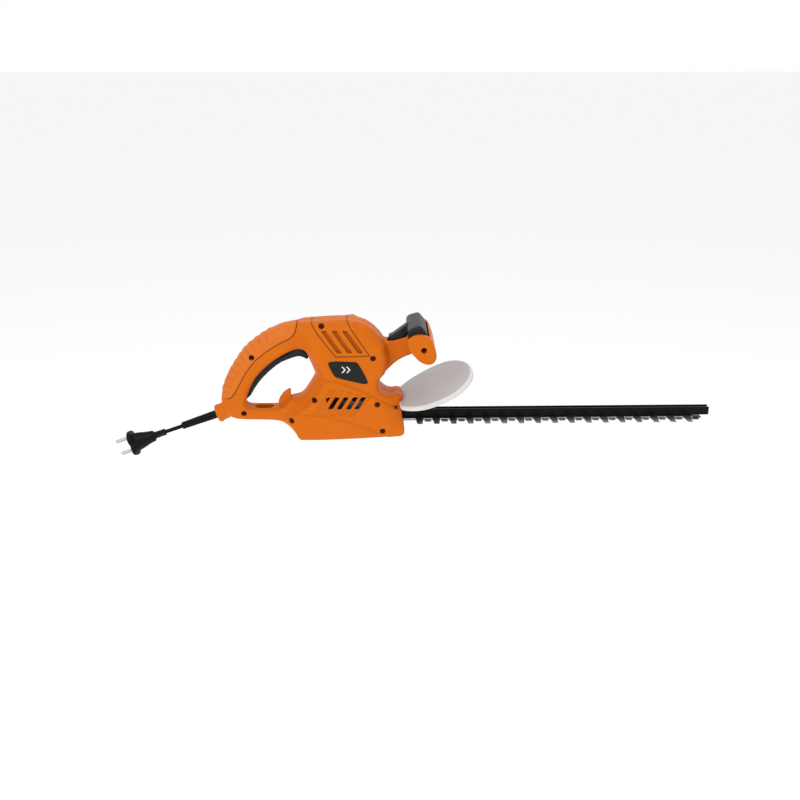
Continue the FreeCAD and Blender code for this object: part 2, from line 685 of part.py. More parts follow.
def add_gearbox_cover():
    """The cast cover over the gear train, with seats for the gear's and the motor's bearings."""
    body = doc.addObject("PartDesign::Body", "gearbox_cover")
    level = PLATE_LEVEL + PLATE_THICKNESS
    pad(body, sketch(body, "cover_outline", "XY_Plane", [rounded(case_outline(0))], level), 16)
    cavity = sketch(body, "cover_cavity", "XY_Plane", [rounded(case_outline(-1.6))], level + 14)
    pocket(body, cavity, 14)
    seat = sketch(body, "motor_seat", "XY_Plane", [circle(size("motor_x"), 0, 13.4)], level + 16)
    pad(body, seat, 8)
    bores = [circle(size("motor_x"), 0, 11), circle(gear_x(), 0, 7)]
    drilled = sketch(body, "cover_bores", "XY_Plane", bores, level + 30)
    pocket(body, drilled, 40)
    keep(body, "gearbox_cover")


def gear_prism(teeth, shift, x, level, tall, turn):
    """An involute spur gear blank, standing on z = level."""
    builder = fcgear.FCWireBuilder()
    involute.CreateExternalGear(builder, size("gear_module"), int(teeth), 20.0, False,
                                shiftCoeff=shift)
    face = Part.Face(Part.Wire([edge.toShape() for edge in builder.wire]))
    face.rotate(Vector(0, 0, 0), Vector(0, 0, 1), turn)
    face.translate(Vector(x, 0, level))
    return face.extrude(Vector(0, 0, tall))


def add_gears():
    tall = size("gear_height")
    wheel = gear_prism(size("gear_teeth"), -0.45, gear_x(), GEAR_LEVEL, tall, 0)
    bore = Part.makeCylinder(size("gear_shaft_radius"), 40, Vector(gear_x(), 0, 0))
    lightening = [
        Part.makeCylinder(4.5, 40, Vector(gear_x() + 15 * math.cos(a), 15 * math.sin(a), 0))
        for a in [math.radians(60 * k) for k in range(6)]
    ]
    feature("drive_gear", wheel.cut([bore] + lightening))
    half_tooth = 180.0 / size("pinion_teeth")
    pinion = gear_prism(size("pinion_teeth"), 0.35, size("motor_x"), GEAR_LEVEL - 1, tall + 2,
                        half_tooth)
    hole = Part.makeCylinder(size("shaft_tip_radius"), 40, Vector(size("motor_x"), 0, 0))
    feature("pinion", pinion.cut(hole))


def add_gear_shaft():
    """The upright shaft with a cam for each blade, half a turn apart."""
    keep(cylinder("gear_shaft_rod", "dims.gear_shaft_radius", 47.4,
                  Vector(gear_x(), 0, BASE_LEVEL - 0.5)), "gear_shaft")
    gap, thickness = size("blade_gap"), size("blade_thickness")
    throw = size("stroke_half")
    bore = "dims.gear_shaft_radius"
    cams = []
    for name, level, side in (("upper", -gap - thickness, 1),
                              ("lower", -2 * (gap + thickness), -1)):
        disc = cylinder(f"{name}_cam_disc", "dims.cam_radius", "dims.blade_thickness",
                        Vector(gear_x(), side * throw, level))
        hole = cylinder(f"{name}_cam_bore", bore, 6, Vector(gear_x(), 0, level - 2))
        cams.append(cut(f"{name}_cam", disc, hole))
    hub = cylinder("cam_hub_disc", 12, GEAR_LEVEL, Vector(gear_x(), 0, 0))
    hub_bore = cylinder("cam_hub_bore", bore, 30, Vector(gear_x(), 0, -2))
    cams.append(cut("cam_hub", hub, hub_bore))
    group("cam_discs", cams)
    bushes = []
    for name, level, tall in (("base", BASE_LEVEL, 5), ("cover", 30.0, 3.5)):
        outer = cylinder(f"{name}_bush_outer", 7, tall, Vector(gear_x(), 0, level))
        inner = cylinder(f"{name}_bush_bore", bore + " + dims.running_gap", 20,
                         Vector(gear_x(), 0, level - 5))
        bushes.append(cut(f"{name}_bush", outer, inner))
    group("shaft_bushes", bushes)


# ---------------------------------------------------------------- motor

STATOR_Z = (64.0, 100.0)


def sector(inner, outer, middle_angle, spread, z0, z1):
    """A piece of a ring about the motor's axis."""
    at = Vector(size("motor_x"), 0, z0)
    ring = Part.makeCylinder(outer, z1 - z0, at, Vector(0, 0, 1), spread)
    ring = ring.cut(Part.makeCylinder(inner, z1 - z0, at))
    ring.rotate(at, Vector(0, 0, 1), middle_angle - spread / 2)
    return ring


def add_stator():
    z0, z1 = STATOR_Z
    outer, bore = size("stator_radius"), size("stator_bore")
    yoke = sector(22, outer, 0, 360, z0, z1)
    poles = [sector(bore, 22.5, angle, 96, z0, z1) for angle in (0, 180)]
    feature("stator_core", yoke.fuse(poles).removeSplitter())
    coils = [sector(17.4, 21.7, angle, 70, z0 - 6, z1 + 6) for angle in (90, 270)]
    feature("field_coils", Part.makeCompound(coils))


def add_armature():
    x = size("motor_x")
    z0, z1 = STATOR_Z
    upper = cylinder("shaft_main", "dims.shaft_radius", 100, Vector(x, 0, 33))
    tip = cylinder("shaft_tip", "dims.shaft_tip_radius", 18, Vector(x, 0, 16))
    keep(fuse("armature_shaft", [upper, tip]), "armature_shaft")
    body = doc.addObject("PartDesign::Body", "armature_core")
    ring = [circle(x, 0, size("armature_radius")), circle(x, 0, size("shaft_radius"))]
    pad(body, sketch(body, "core_section", "XY_Plane", ring, z0), z1 - z0)
    slot = rounded([(x + 9.5, -1.2), (x + 17, -1.2), (x + 17, 1.2), (x + 9.5, 1.2)])
    slots = []
    for k in range(12):
        for edge in slot:
            copy = edge.copy()
            copy.transform(Placement(Vector(x, 0, 0), Rotation(Vector(0, 0, 1), 30 * k)).toMatrix()
                           * Placement(Vector(-x, 0, 0), Rotation()).toMatrix())
            slots.append(copy)
    pocket(body, sketch(body, "core_slots", "XY_Plane", [slots], z1 + 1), z1 - z0 + 2)
    keep(body, "armature_core")
    heads = []
    for name, level in (("lower", z0 - 8.0), ("upper", z1)):
        outer = cylinder(f"{name}_winding_outer", 14, 8, Vector(x, 0, level))
        inner = cylinder(f"{name}_winding_bore", "dims.shaft_radius", 20, Vector(x, 0, level - 4))
        heads.append(cut(f"{name}_winding", outer, inner))
    group("armature_windings", heads)
    drum = cylinder("commutator_drum", "dims.commutator_radius", 10, Vector(x, 0, 110))
    bore = cylinder("commutator_bore", "dims.shaft_radius", 20, Vector(x, 0, 105))
    keep(cut("commutator_ring", drum, bore), "commutator")


def add_fan():
    """The cooling fan under the armature: a hub and disc with radial vanes."""
    x, radius = size("motor_x"), size("fan_radius")
    level, disc = 44.0, 1.6
    shape = Part.makeCylinder(radius, disc, Vector(x, 0, level + 8))
    shape = shape.fuse(Part.makeCylinder(7, 9, Vector(x, 0, level)))
    vanes = []
    for k in range(14):
        vane = block(x + 6, x + radius - 0.5, -0.7, 0.7, level + 0.5, level + 8.2)
        vane.rotate(Vector(x, 0, 0), Vector(0, 0, 1), k * 360 / 14)
        vanes.append(vane)
    shape = shape.fuse(vanes)
    shape = shape.cut(Part.makeCylinder(size("shaft_radius"), 30, Vector(x, 0, level - 5)))
    feature("cooling_fan", shape.removeSplitter())


def bearing(label, outer_radius, level, tall):
    x = size("motor_x")
    ring = cylinder(label + "_ring", outer_radius, tall, Vector(x, 0, level))
    bore = cylinder(label + "_bore", "dims.shaft_radius + dims.running_gap", tall + 4,
                    Vector(x, 0, level - 2))
    keep(cut(label, ring, bore), label)


def add_motor_mounts():
    x = size("motor_x")
    bearing("lower_bearing", 11, 33.5, 6.5)
    bearing("upper_bearing", 9.5, 122.5, 7)
    bracket = rounded([(x - 30, -25.5, 8), (x + 30, -25.5, 8), (x + 30, 25.5, 8), (x - 30, 25.5, 8)])
    flat_piece("bearing_bracket", [bracket, circle(x, 0, 9.5)], 5, 123.5)
    flat_piece("fan_baffle", [bracket, circle(x, 0, 22.4)], 1.8, 54.8)
    holders, brushes = [], []
    for name, side in (("right", -1), ("left", 1)):
        low = 11.2 if side > 0 else -27.2
        case = box(f"{name}_holder_case", 11, 16, 10, Vector(x - 5.5, low, 110))
        hollow = box(f"{name}_holder_hollow", 8.2, 24, 7.2, Vector(x - 4.1, low - 4, 111.4))
        holders.append(cut(f"{name}_holder", case, hollow))
        start = 10.3 if side > 0 else -24.3
        brushes.append(box(f"{name}_brush", 8, 14, 7, Vector(x - 4, start, 111.5)))
    group("brush_holders", holders)
    group("carbon_brushes", brushes)


# ---------------------------------------------------------------- trigger and front lever

TRIGGER_PIVOT = (-221.5, 34.5)
TRIGGER = [
    (-222, 29.5, 4), (-214, 30.5, 4), (-203.5, 49, 30), (-188.5, 67, 40), (-169, 82.5, 40),
    (-153, 89.3, 24), (-142.5, 92.3, 8), (-133.5, 87.2, 2.5), (-127.8, 88.2, 2),
    (-131.5, 97, 6), (-143, 106.5, 10), (-159, 102.5, 40), (-179.5, 92.5, 40), (-199, 74.5, 40),
    (-211.5, 56, 30), (-224, 41, 5), (-227, 33, 4),
]
LEVER_PIVOT = (-8.0, 110.0)
LEVER_HEAD = [(10.2, 127.5, 2), (9.6, 136, 2), (17, 140.6, 9), (27.4, 143.4, 1.5),
              (37.2, 131.5, 1.2), (36.4, 127.5, 2)]
LEVER_NECK = [(-15.5, 114.2, 2), (-15.6, 120.4, 2), (1, 131.2, 4), (10, 138, 2), (20, 136, 2),
              (20, 128.2, 2), (9, 124, 4), (6.5, 118.6, 2), (-3.6, 116.6, 1),
              (-3.6, 105.6, 3), (-12.4, 105.6, 3), (-12.4, 114.8, 1)]


def add_rear_trigger():
    body = side_piece("rear_trigger", [rounded(TRIGGER)], "dims.trigger_half_width")
    pin_hole = sketch(body, "trigger_pin_hole", "XZ_Plane",
                      [circle(*TRIGGER_PIVOT, size("trigger_pin_radius") + size("running_gap"))])
    pocket(body, pin_hole, 60, symmetric=True)
    keep(body, "rear_trigger")
    x, z = TRIGGER_PIVOT
    half = PIN_REACH - 0.1
    pin = cylinder("trigger_pin_rod", "dims.trigger_pin_radius", 2 * half, Vector(x, -half, z),
                   Vector(0, 1, 0))
    keep(pin, "trigger_pin")


def add_front_lever():
    body = side_piece("front_lever", [rounded(LEVER_NECK)], "dims.lever_neck_half_width")
    head = sketch(body, "lever_head", "XZ_Plane", [rounded(LEVER_HEAD)])
    pad(body, head, "2 * dims.lever_half_width", True)
    pin_hole = sketch(body, "lever_pin_hole", "XZ_Plane",
                      [circle(*LEVER_PIVOT, size("lever_pin_radius") + size("running_gap"))])
    pocket(body, pin_hole, 60, symmetric=True)
    keep(body, "front_lever")
    x, z = LEVER_PIVOT
    half = PIN_REACH - 0.1
    pin = cylinder("lever_pin_rod", "dims.lever_pin_radius", 2 * half, Vector(x, -half, z),
                   Vector(0, 1, 0))
    keep(pin, "lever_pin")


def coil_spring(label, radius, wire, pitch, tall, at):
    helix = Part.makeHelix(pitch, tall, radius)
    section = Part.Wire(Part.makeCircle(wire / 2, Vector(radius, 0, 0), Vector(0, 1, 0)))
    spring = Part.Wire(helix).makePipeShell([section], True, True)
    return feature(label, spring, at)


def add_springs():
    coil_spring("trigger_spring", 3.2, 1.3, 2.7, 16.0, Vector(-170.0, 0, 99.8))
    coil_spring("lever_spring", 3.0, 1.2, 1.6, 3.2, Vector(3.5, 0, 113.4))


# ---------------------------------------------------------------- hand guard

def guard_plan(grow):
    """The guard's outline on its own plane: s runs up the guard from the nose, t across it."""
    wide = size("guard_half_width") + grow
    length = 110.0 + grow
    half = [(2.5 - grow, 28), (8, 42 + grow), (24, 70 + grow), (52, wide), (80, wide - 4),
            (100, 58 + grow), (108 + grow, 30)]
    corners = [(s, -t) for s, t in half] + [(length + 1, 0)] + [(s, t) for s, t in reversed(half)]
    radii = [8, 60, 60, 40, 40, 40, 40, 50]
    radii = radii + radii[:-1][::-1]
    return [(s, t, radius) for (s, t), radius in zip(corners, radii)]


def add_guard():
    """A shallow tray: a sloping plate with a skirt turned down round its rim."""
    body = doc.addObject("PartDesign::Body", "hand_guard")
    deep = "dims.guard_skirt"
    pad(body, sketch(body, "guard_rim", "XY_Plane", [rounded(guard_plan(0))]), deep, False, True)
    inside = sketch(body, "guard_inside", "XY_Plane", [rounded(guard_plan(-2.4))],
                    -size("guard_plate"))
    pocket(body, inside, deep)
    tongue = rounded([(-14, -22, 3), (6, -22), (6, 22), (-14, 22, 3)])
    pad(body, sketch(body, "guard_tongue", "XY_Plane", [tongue], 0), "dims.guard_plate", False,
        True)
    body.Placement = Placement(Vector(3.5, 0, 28.0),
                               Rotation(Vector(0, 1, 0), -size("guard_tilt")))
    keep(body, "hand_guard")


# ---------------------------------------------------------------- wiring

def add_switches():
    """The two safety switches, each a moulded block with a spring leaf."""
    for label, x, z, half in (("rear_switch", -152.0, 118.5, 5.2), ("front_switch", 10.0, 108.0, 5.2)):
        case = box(label + "_case", 20, 2 * half, 9.5, Vector(x - 10, -half, z - 4.8))
        leaf = box(label + "_leaf", 15, 4, 0.5, Vector(x - 7.5, -2, z - 5.3))
        keep(fuse(label, [case, leaf]), label)


def add_electrics():
    capacitor = box("capacitor_case", 16, 18, 11, Vector(-137, -9, -14))
    keep(capacitor, "suppression_capacitor")
    terminals = box("terminal_case", 12, 22, 10, Vector(-118, -11, -14))
    keep(terminals, "terminal_block")
    wires = []
    for y in (-2.6, 2.6):
        route = [Vector(-234, y, 22), Vector(-238, y, 44), Vector(-226, y, 68),
                 Vector(-201, y, 87), Vector(-176, y, 124.4), Vector(-150, y, 124.9)]
        wires.append(tube(route, 1.0))
    feature("internal_wires", Part.makeCompound(wires))


def add_cord_clamp():
    """The bar screwed down over the cord behind the neck."""
    tilted = Rotation(Vector(0, 1, 0), -size("cord_tilt"))
    bar = box("clamp_bar", 8, 19.2, 3, Vector())
    bar.Placement = Placement(on_cord(CLAMP_S + 4, 2.8) + Vector(0, -9.6, 0), tilted)
    upwards = tilted.multVec(Vector(0, 0, 1))
    holes, screws = [], []
    for i, side in enumerate((-1, 1)):
        aside = Vector(0, side * CLAMP_SCREW_Y, 0)
        holes.append(cylinder(f"clamp_hole_{i}", 1.45, 8, on_cord(CLAMP_S, 0) + aside, upwards))
        head = cylinder(f"clamp_head_{i}", 2.8, 1.8, on_cord(CLAMP_S, 5.85) + aside, upwards)
        shank = cylinder(f"clamp_shank_{i}", 1.4, 11.85, on_cord(CLAMP_S, -6) + aside, upwards)
        screws.append(fuse(f"clamp_screw_{i}", [head, shank]))
    keep(cut("cord_clamp", bar, fuse("clamp_holes", holes)), "cord_clamp")
    group("clamp_screws", screws)


def tube(points, radius):
    """A round tube along straight runs joined by the largest tangent arcs."""
    runs = [(points[i + 1] - points[i]).Length for i in range(len(points) - 1)]
    edges, here = [], points[0]
    for i in range(1, len(points) - 1):
        back = (points[i - 1] - points[i]).normalize()
        ahead = (points[i + 1] - points[i]).normalize()
        turn = math.pi - back.getAngle(ahead)
        reach = 0.45 * min(runs[i - 1], runs[i])
        bend = reach / math.tan(turn / 2)
        bisector = (back + ahead).normalize()
        middle = points[i] + bisector * (bend / math.cos(turn / 2) - bend)
        edges.append(Part.LineSegment(here, points[i] + back * reach).toShape())
        edges.append(Part.Arc(points[i] + back * reach, middle, points[i] + ahead * reach).toShape())
        here = points[i] + ahead * reach
        print(f"bend {i}: radius {bend:.1f} mm")
    edges.append(Part.LineSegment(here, points[-1]).toShape())
    path = Part.Wire(edges)
    start = (points[1] - points[0]).normalize()
    section = Part.Wire(Part.makeCircle(radius, points[0], start))
    solid = path.makePipeShell([section], True, True)
    print(f"tube {path.Length:.1f} mm, volume ratio "
          f"{solid.Volume / (path.Length * math.pi * radius ** 2):.4f}")
    return solid


# ---------------------------------------------------------------- cord and plug

PLUG_START = 96.0
PLUG_FACE = 131.5
CORD_ROUTE = [(-28.0, 0.0), (0.0, 0.1), (30.0, -0.1), (60.0, -0.35), (88.0, 0.0)]


def on_cord(distance, rise):
    """A point beside the cord's line: rise is square to it, in the mid-plane."""
    along = cord_direction()
    return along_cord(distance) + Vector(along.z, 0, -along.x) * rise


def add_cord():
    feature("cord", tube([on_cord(s, rise) for s, rise in CORD_ROUTE], size("cord_diameter") / 2))


def add_sleeve():
    """The tapered strain relief, moulded round the cord where it leaves the neck."""
    bore = size("cord_diameter") / 2 + 0.45
    inside = rod(size("sleeve_radius"), along_cord(-14), along_cord(0))
    outside = Part.makeCone(size("sleeve_radius"), size("sleeve_tip_radius"),
                            size("sleeve_length"), along_cord(0), cord_direction())
    flange = rod(8.4, along_cord(-14), along_cord(-11))
    hollow = rod(bore, along_cord(-20), along_cord(60))
    feature("cord_sleeve", inside.fuse([outside, flange]).cut(hollow).removeSplitter())


def add_plug():
    """A two-pin contour plug: ribbed relief, tapered body, notched collar and round pins."""
    direction = cord_direction()
    across = Vector(direction.z, 0, -direction.x)
    relief = rod(5.0, along_cord(79), along_cord(PLUG_START + 2))
    half_rear, half_front, thick = 8.6, 13.2, 8.5
    corners = [on_cord(PLUG_START, -half_rear), on_cord(126.5, -half_front),
               on_cord(126.5, half_front), on_cord(PLUG_START, half_rear)]
    corners = [corner - Vector(0, thick, 0) for corner in corners]
    body = Part.Face(Part.makePolygon(corners + corners[:1])).extrude(Vector(0, 2 * thick, 0))
    body = body.makeFillet(2.5, body.Edges)
    collar = rod(size("plug_collar_radius"), along_cord(125), along_cord(PLUG_FACE))
    limit = block(-500, 0, -14.5, 14.5, -100, 60)
    collar = collar.common(limit)
    notch = rod(4.2, along_cord(120) + Vector(0, -15.5, 0), along_cord(140) + Vector(0, -15.5, 0))
    far_notch = rod(4.2, along_cord(120) + Vector(0, 15.5, 0),
                    along_cord(140) + Vector(0, 15.5, 0))
    plug = relief.fuse([body, collar]).cut([notch, far_notch])
    root = size("plug_pin_radius") - 0.4
    pins = []
    for i, side in enumerate((-1, 1)):
        face = along_cord(PLUG_FACE) + across * (side * size("plug_pin_spacing") / 2)
        plug = plug.cut(rod(root + 0.02, face - direction * 6.1, face + direction))
        moulded_in = cylinder(f"plug_pin_root_{i}", "dims.plug_pin_radius - 0.4", 6,
                              face - direction * 6, direction)
        free = cylinder(f"plug_pin_free_{i}", "dims.plug_pin_radius", "dims.plug_pin_length",
                        face, direction)
        pins.append(fuse(f"plug_pin_{i}", [moulded_in, free]))
    feature("plug_body", plug.cut(cord_hole()).removeSplitter())
    group("plug_pins", pins)


def cord_hole():
    """The part of the plug that the cord's end fills."""
    return tube([on_cord(s, rise) for s, rise in CORD_ROUTE], size("cord_diameter") / 2)


# ---------------------------------------------------------------- build, check and write

add_housing()
add_housing_screws()
add_blades()
add_rail()
add_blade_bolts()
add_gear_plates()
add_gearbox_cover()
add_gears()
add_gear_shaft()
add_stator()
add_armature()
add_fan()
add_motor_mounts()
add_rear_trigger()
add_front_lever()
add_springs()
add_guard()
add_switches()
add_electrics()
add_cord_clamp()
add_cord()
add_sleeve()
add_plug()
doc.recompute()

for obj in doc.Objects:
    if "Invalid" in obj.State or "Error" in obj.State:
        raise RuntimeError(f"{obj.Label} did not compute: {obj.State}")
for obj in sub_parts:
    if obj.Shape.isNull() or not obj.Shape.isValid() or obj.Shape.Volume <= 0:
        raise RuntimeError(f"{obj.Label} has no valid shape")

os.makedirs("parts", exist_ok=True)
for obj in sub_parts:
    obj.Shape.exportStep(f"parts/{obj.Label}.step")
print(len(sub_parts), "sub-parts written")
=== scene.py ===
import json
import math

import bpy
import numpy as np
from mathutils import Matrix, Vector


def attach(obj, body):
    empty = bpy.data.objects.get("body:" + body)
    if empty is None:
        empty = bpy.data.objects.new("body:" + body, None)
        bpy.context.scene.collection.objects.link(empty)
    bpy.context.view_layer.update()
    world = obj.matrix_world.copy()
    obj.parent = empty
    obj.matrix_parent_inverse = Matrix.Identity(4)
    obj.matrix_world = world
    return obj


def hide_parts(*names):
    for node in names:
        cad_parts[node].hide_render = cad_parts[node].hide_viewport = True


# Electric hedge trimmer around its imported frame. Shapes are worked out in millimetres and made in metres.

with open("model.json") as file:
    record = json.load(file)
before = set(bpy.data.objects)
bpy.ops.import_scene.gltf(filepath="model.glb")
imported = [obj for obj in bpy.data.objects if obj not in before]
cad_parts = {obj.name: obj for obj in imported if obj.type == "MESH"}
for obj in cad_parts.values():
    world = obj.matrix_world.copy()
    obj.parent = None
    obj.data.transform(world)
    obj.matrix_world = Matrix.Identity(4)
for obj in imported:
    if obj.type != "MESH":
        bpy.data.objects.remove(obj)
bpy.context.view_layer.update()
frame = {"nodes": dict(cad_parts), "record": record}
MM = 0.001
NODES = frame["nodes"]
RECORD = frame["record"]

# ---------------------------------------------------------------- camera, light, floor

AZIMUTH, ELEVATION, DISTANCE = math.radians(1.4), math.radians(18.5), 1.588
AIM = Vector((0, 0, 0.024))
forward = Vector((math.sin(AZIMUTH) * math.cos(ELEVATION), math.cos(AZIMUTH) * math.cos(ELEVATION),
                  -math.sin(ELEVATION)))
camera = bpy.data.objects.new("camera", bpy.data.cameras.new("camera"))
camera.data.lens, camera.data.sensor_width = 50, 36
camera.data.clip_start, camera.data.clip_end = 0.05, 60
camera.location = AIM - forward * DISTANCE
camera.rotation_mode = "QUATERNION"
camera.rotation_quaternion = forward.to_track_quat("-Z", "Y")
bpy.context.collection.objects.link(camera)
bpy.context.scene.camera = camera


def area_light(name, at, towards, width, watts):
    lamp = bpy.data.objects.new(name, bpy.data.lights.new(name, "AREA"))
    lamp.data.shape, lamp.data.size, lamp.data.energy = "SQUARE", width, watts
    lamp.location = Vector(at)
    lamp.rotation_mode = "QUATERNION"
    lamp.rotation_quaternion = (Vector(towards) - Vector(at)).to_track_quat("-Z", "Y")
    bpy.context.collection.objects.link(lamp)


area_light("key", (-1.3, -2.0, 1.5), (0, 0, 0.05), 1.4, 26)
area_light("top", (0.3, 0.5, 2.4), (0, 0, 0.05), 1.8, 9)
area_light("side", (2.2, -1.2, 0.9), (0.1, 0, 0.05), 1.0, 9)
world = bpy.data.worlds.new("studio")
world.use_nodes = True
sky_nodes, sky_links = world.node_tree.nodes, world.node_tree.links
sky_place = sky_nodes.new("ShaderNodeTexCoord")
sky_parts = sky_nodes.new("ShaderNodeSeparateXYZ")
sky_level = sky_nodes.new("ShaderNodeMapRange")
sky_level.inputs["From Min"].default_value, sky_level.inputs["From Max"].default_value = -1, 0.9
sky_level.inputs["To Min"].default_value, sky_level.inputs["To Max"].default_value = 0.62, 1.0
sky_links.new(sky_place.outputs["Generated"], sky_parts.inputs["Vector"])
sky_links.new(sky_parts.outputs["Y"], sky_level.inputs["Value"])
sky_links.new(sky_level.outputs["Result"], sky_nodes["Background"].inputs["Strength"])
sky_nodes["Background"].inputs["Color"].default_value = (1, 1, 1, 1)
bpy.context.scene.world = world
bpy.context.scene.view_settings.view_transform = "Standard"

# ---------------------------------------------------------------- materials


def procedural(name, colour, roughness, metallic=0.0, grain=900.0, bump=0.12, spread=0.06,
               streaks=False, specular=0.5, glow=0.0, with_painted_shade=False, worn=0.0):
    """A finish with fine grain, slow colour drift, uneven gloss, paler worn edges and, if asked, painted
    shade.
    """
    material = bpy.data.materials.new(name)
    material.use_nodes = True
    nodes, links = material.node_tree.nodes, material.node_tree.links
    shader = nodes["Principled BSDF"]
    shader.inputs["Metallic"].default_value = metallic
    shader.inputs["Specular IOR Level"].default_value = specular
    shader.inputs["Emission Color"].default_value = (1, 1, 1, 1)
    shader.inputs["Emission Strength"].default_value = glow
    place = nodes.new("ShaderNodeTexCoord")
    mapping = nodes.new("ShaderNodeMapping")
    mapping.inputs["Scale"].default_value = (1, 14, 14) if streaks else (1, 1, 1)
    links.new(place.outputs["Object"], mapping.inputs["Vector"])
    drift = nodes.new("ShaderNodeTexNoise")
    drift.inputs["Scale"].default_value = 38.0
    drift.inputs["Detail"].default_value = 4.0
    links.new(mapping.outputs["Vector"], drift.inputs["Vector"])
    fine = nodes.new("ShaderNodeTexNoise")
    fine.inputs["Scale"].default_value = grain
    fine.inputs["Detail"].default_value = 3.0
    links.new(mapping.outputs["Vector"], fine.inputs["Vector"])
    tint = nodes.new("ShaderNodeValToRGB")
    tint.color_ramp.elements[0].position, tint.color_ramp.elements[1].position = 0.3, 0.7
    for element, gain in zip(tint.color_ramp.elements, (1 - spread, 1 + spread)):
        element.color = [min(1.0, channel * gain) for channel in colour] + [1]
    links.new(drift.outputs["Fac"], tint.inputs["Fac"])
    colour_out = tint.outputs["Color"]
    if worn:
        edges = nodes.new("ShaderNodeValToRGB")
        edges.color_ramp.elements[0].position, edges.color_ramp.elements[1].position = 0.53, 0.62
        geometry = nodes.new("ShaderNodeNewGeometry")
        links.new(geometry.outputs["Pointiness"], edges.inputs["Fac"])
        mix = nodes.new("ShaderNodeMixRGB")
        pale = [channel + (1 - channel) * worn for channel in colour]
        mix.inputs["Color2"].default_value = pale + [1]
        links.new(edges.outputs["Color"], mix.inputs["Fac"])
        links.new(colour_out, mix.inputs["Color1"])
        colour_out = mix.outputs["Color"]
    # Painted shade: where the point attribute is set, the colour is darkened towards 0.32 of itself.
    if with_painted_shade:
        painted_shade = nodes.new("ShaderNodeAttribute")
        painted_shade.attribute_name = "painted_shade"
        dark = nodes.new("ShaderNodeMixRGB")
        dark.inputs["Color2"].default_value = [channel * 0.32 for channel in colour] + [1]
        links.new(painted_shade.outputs["Fac"], dark.inputs["Fac"])
        links.new(colour_out, dark.inputs["Color1"])
        colour_out = dark.outputs["Color"]
    links.new(colour_out, shader.inputs["Base Color"])
    gloss = nodes.new("ShaderNodeMapRange")
    gloss.inputs["To Min"].default_value = max(0.03, roughness - 0.06)
    gloss.inputs["To Max"].default_value = min(1.0, roughness + 0.06)
    links.new(drift.outputs["Fac"], gloss.inputs["Value"])
    links.new(gloss.outputs["Result"], shader.inputs["Roughness"])
    relief = nodes.new("ShaderNodeBump")
    relief.inputs["Strength"].default_value = bump
    relief.inputs["Distance"].default_value = 0.0003
    links.new(fine.outputs["Fac"], relief.inputs["Height"])
    links.new(relief.outputs["Normal"], shader.inputs["Normal"])
    return material


FINISHES = {
    "orange_plastic": dict(colour=(0.62, 0.133, 0.0015), roughness=0.42, grain=1500, bump=0.10,
                           spread=0.03, with_painted_shade=True, worn=0.03, specular=0.13),
    "orange_grip": dict(colour=(0.65, 0.152, 0.008), roughness=0.5, grain=1800, bump=0.2,
                        spread=0.03, with_painted_shade=True, worn=0.03, specular=0.25),
    "badge_black": dict(colour=(0.013, 0.013, 0.014), roughness=0.35, grain=600, bump=0.02,
                        specular=0.15),
    "badge_mark": dict(colour=(0.75, 0.75, 0.74), roughness=0.4, grain=600, bump=0.02),
    "black_plastic": dict(colour=(0.013, 0.013, 0.0135), roughness=0.42, grain=1700, bump=0.2,
                          worn=0.015, specular=0.22),
    "guard_plastic": dict(colour=(0.66, 0.655, 0.65), roughness=0.5, grain=700, bump=0.35,
                          spread=0.04, with_painted_shade=True, specular=0.3),
    "rail_black": dict(colour=(0.004, 0.004, 0.0044), roughness=0.3, grain=300, bump=0.04,
                       specular=0.1),
    "blade_steel": dict(colour=(0.46, 0.465, 0.47), roughness=0.3, metallic=1.0, grain=500,
                        bump=0.12, spread=0.16, streaks=True),
    # Screw heads coloured dark orange-brown like the plastic in shade inside their recesses: painted shade.
    "dark_screws": dict(colour=(0.06, 0.018, 0.005), roughness=0.55, grain=700, specular=0.12),
    "fixings_steel": dict(colour=(0.5, 0.5, 0.52), roughness=0.3, metallic=1.0, grain=700),
    "gearbox_alloy": dict(colour=(0.14, 0.145, 0.155), roughness=0.55, metallic=1.0, grain=400,
                          bump=0.4),
    "plate_steel": dict(colour=(0.2, 0.2, 0.21), roughness=0.4, metallic=1.0, grain=500,
                        streaks=True),
    "gear_steel": dict(colour=(0.36, 0.36, 0.38), roughness=0.3, metallic=1.0, grain=800),
    "bronze": dict(colour=(0.55, 0.36, 0.16), roughness=0.4, metallic=1.0, grain=900),
    "motor_iron": dict(colour=(0.05, 0.052, 0.06), roughness=0.55, metallic=0.8, grain=600, bump=0.3),
    "copper": dict(colour=(0.5, 0.17, 0.06), roughness=0.3, metallic=1.0, grain=500, bump=0.5,
                   streaks=True),
    "carbon": dict(colour=(0.02, 0.02, 0.021), roughness=0.7, grain=1200, bump=0.3),
    "inner_plastic": dict(colour=(0.02, 0.02, 0.023), roughness=0.55, grain=1200, bump=0.2),
    "spring_steel": dict(colour=(0.45, 0.45, 0.47), roughness=0.25, metallic=1.0, grain=900),
    "wire_pvc": dict(colour=(0.2, 0.07, 0.03), roughness=0.45, grain=900),
    "cord_rubber": dict(colour=(0.0025, 0.0025, 0.003), roughness=0.5, grain=1400, bump=0.15,
                        specular=0.12),
    "plug_rubber": dict(colour=(0.003, 0.003, 0.0034), roughness=0.45, grain=1400, bump=0.2,
                        worn=0.03, specular=0.13),
    "nickel_pins": dict(colour=(0.42, 0.42, 0.44), roughness=0.22, metallic=1.0, grain=500,
                        streaks=True),
    "floor": dict(colour=(0.94, 0.94, 0.94), roughness=0.9, grain=60, bump=0.02, spread=0.004,
                  glow=0.14),
}
MATERIALS = {name: procedural(name, **values) for name, values in FINISHES.items()}
for part in RECORD["subparts"]:
    node = NODES[part["node"]]
    node.data.materials.clear()
    node.data.materials.append(MATERIALS[part["material_slot"]])

# ---------------------------------------------------------------- distance fields and their surfaces


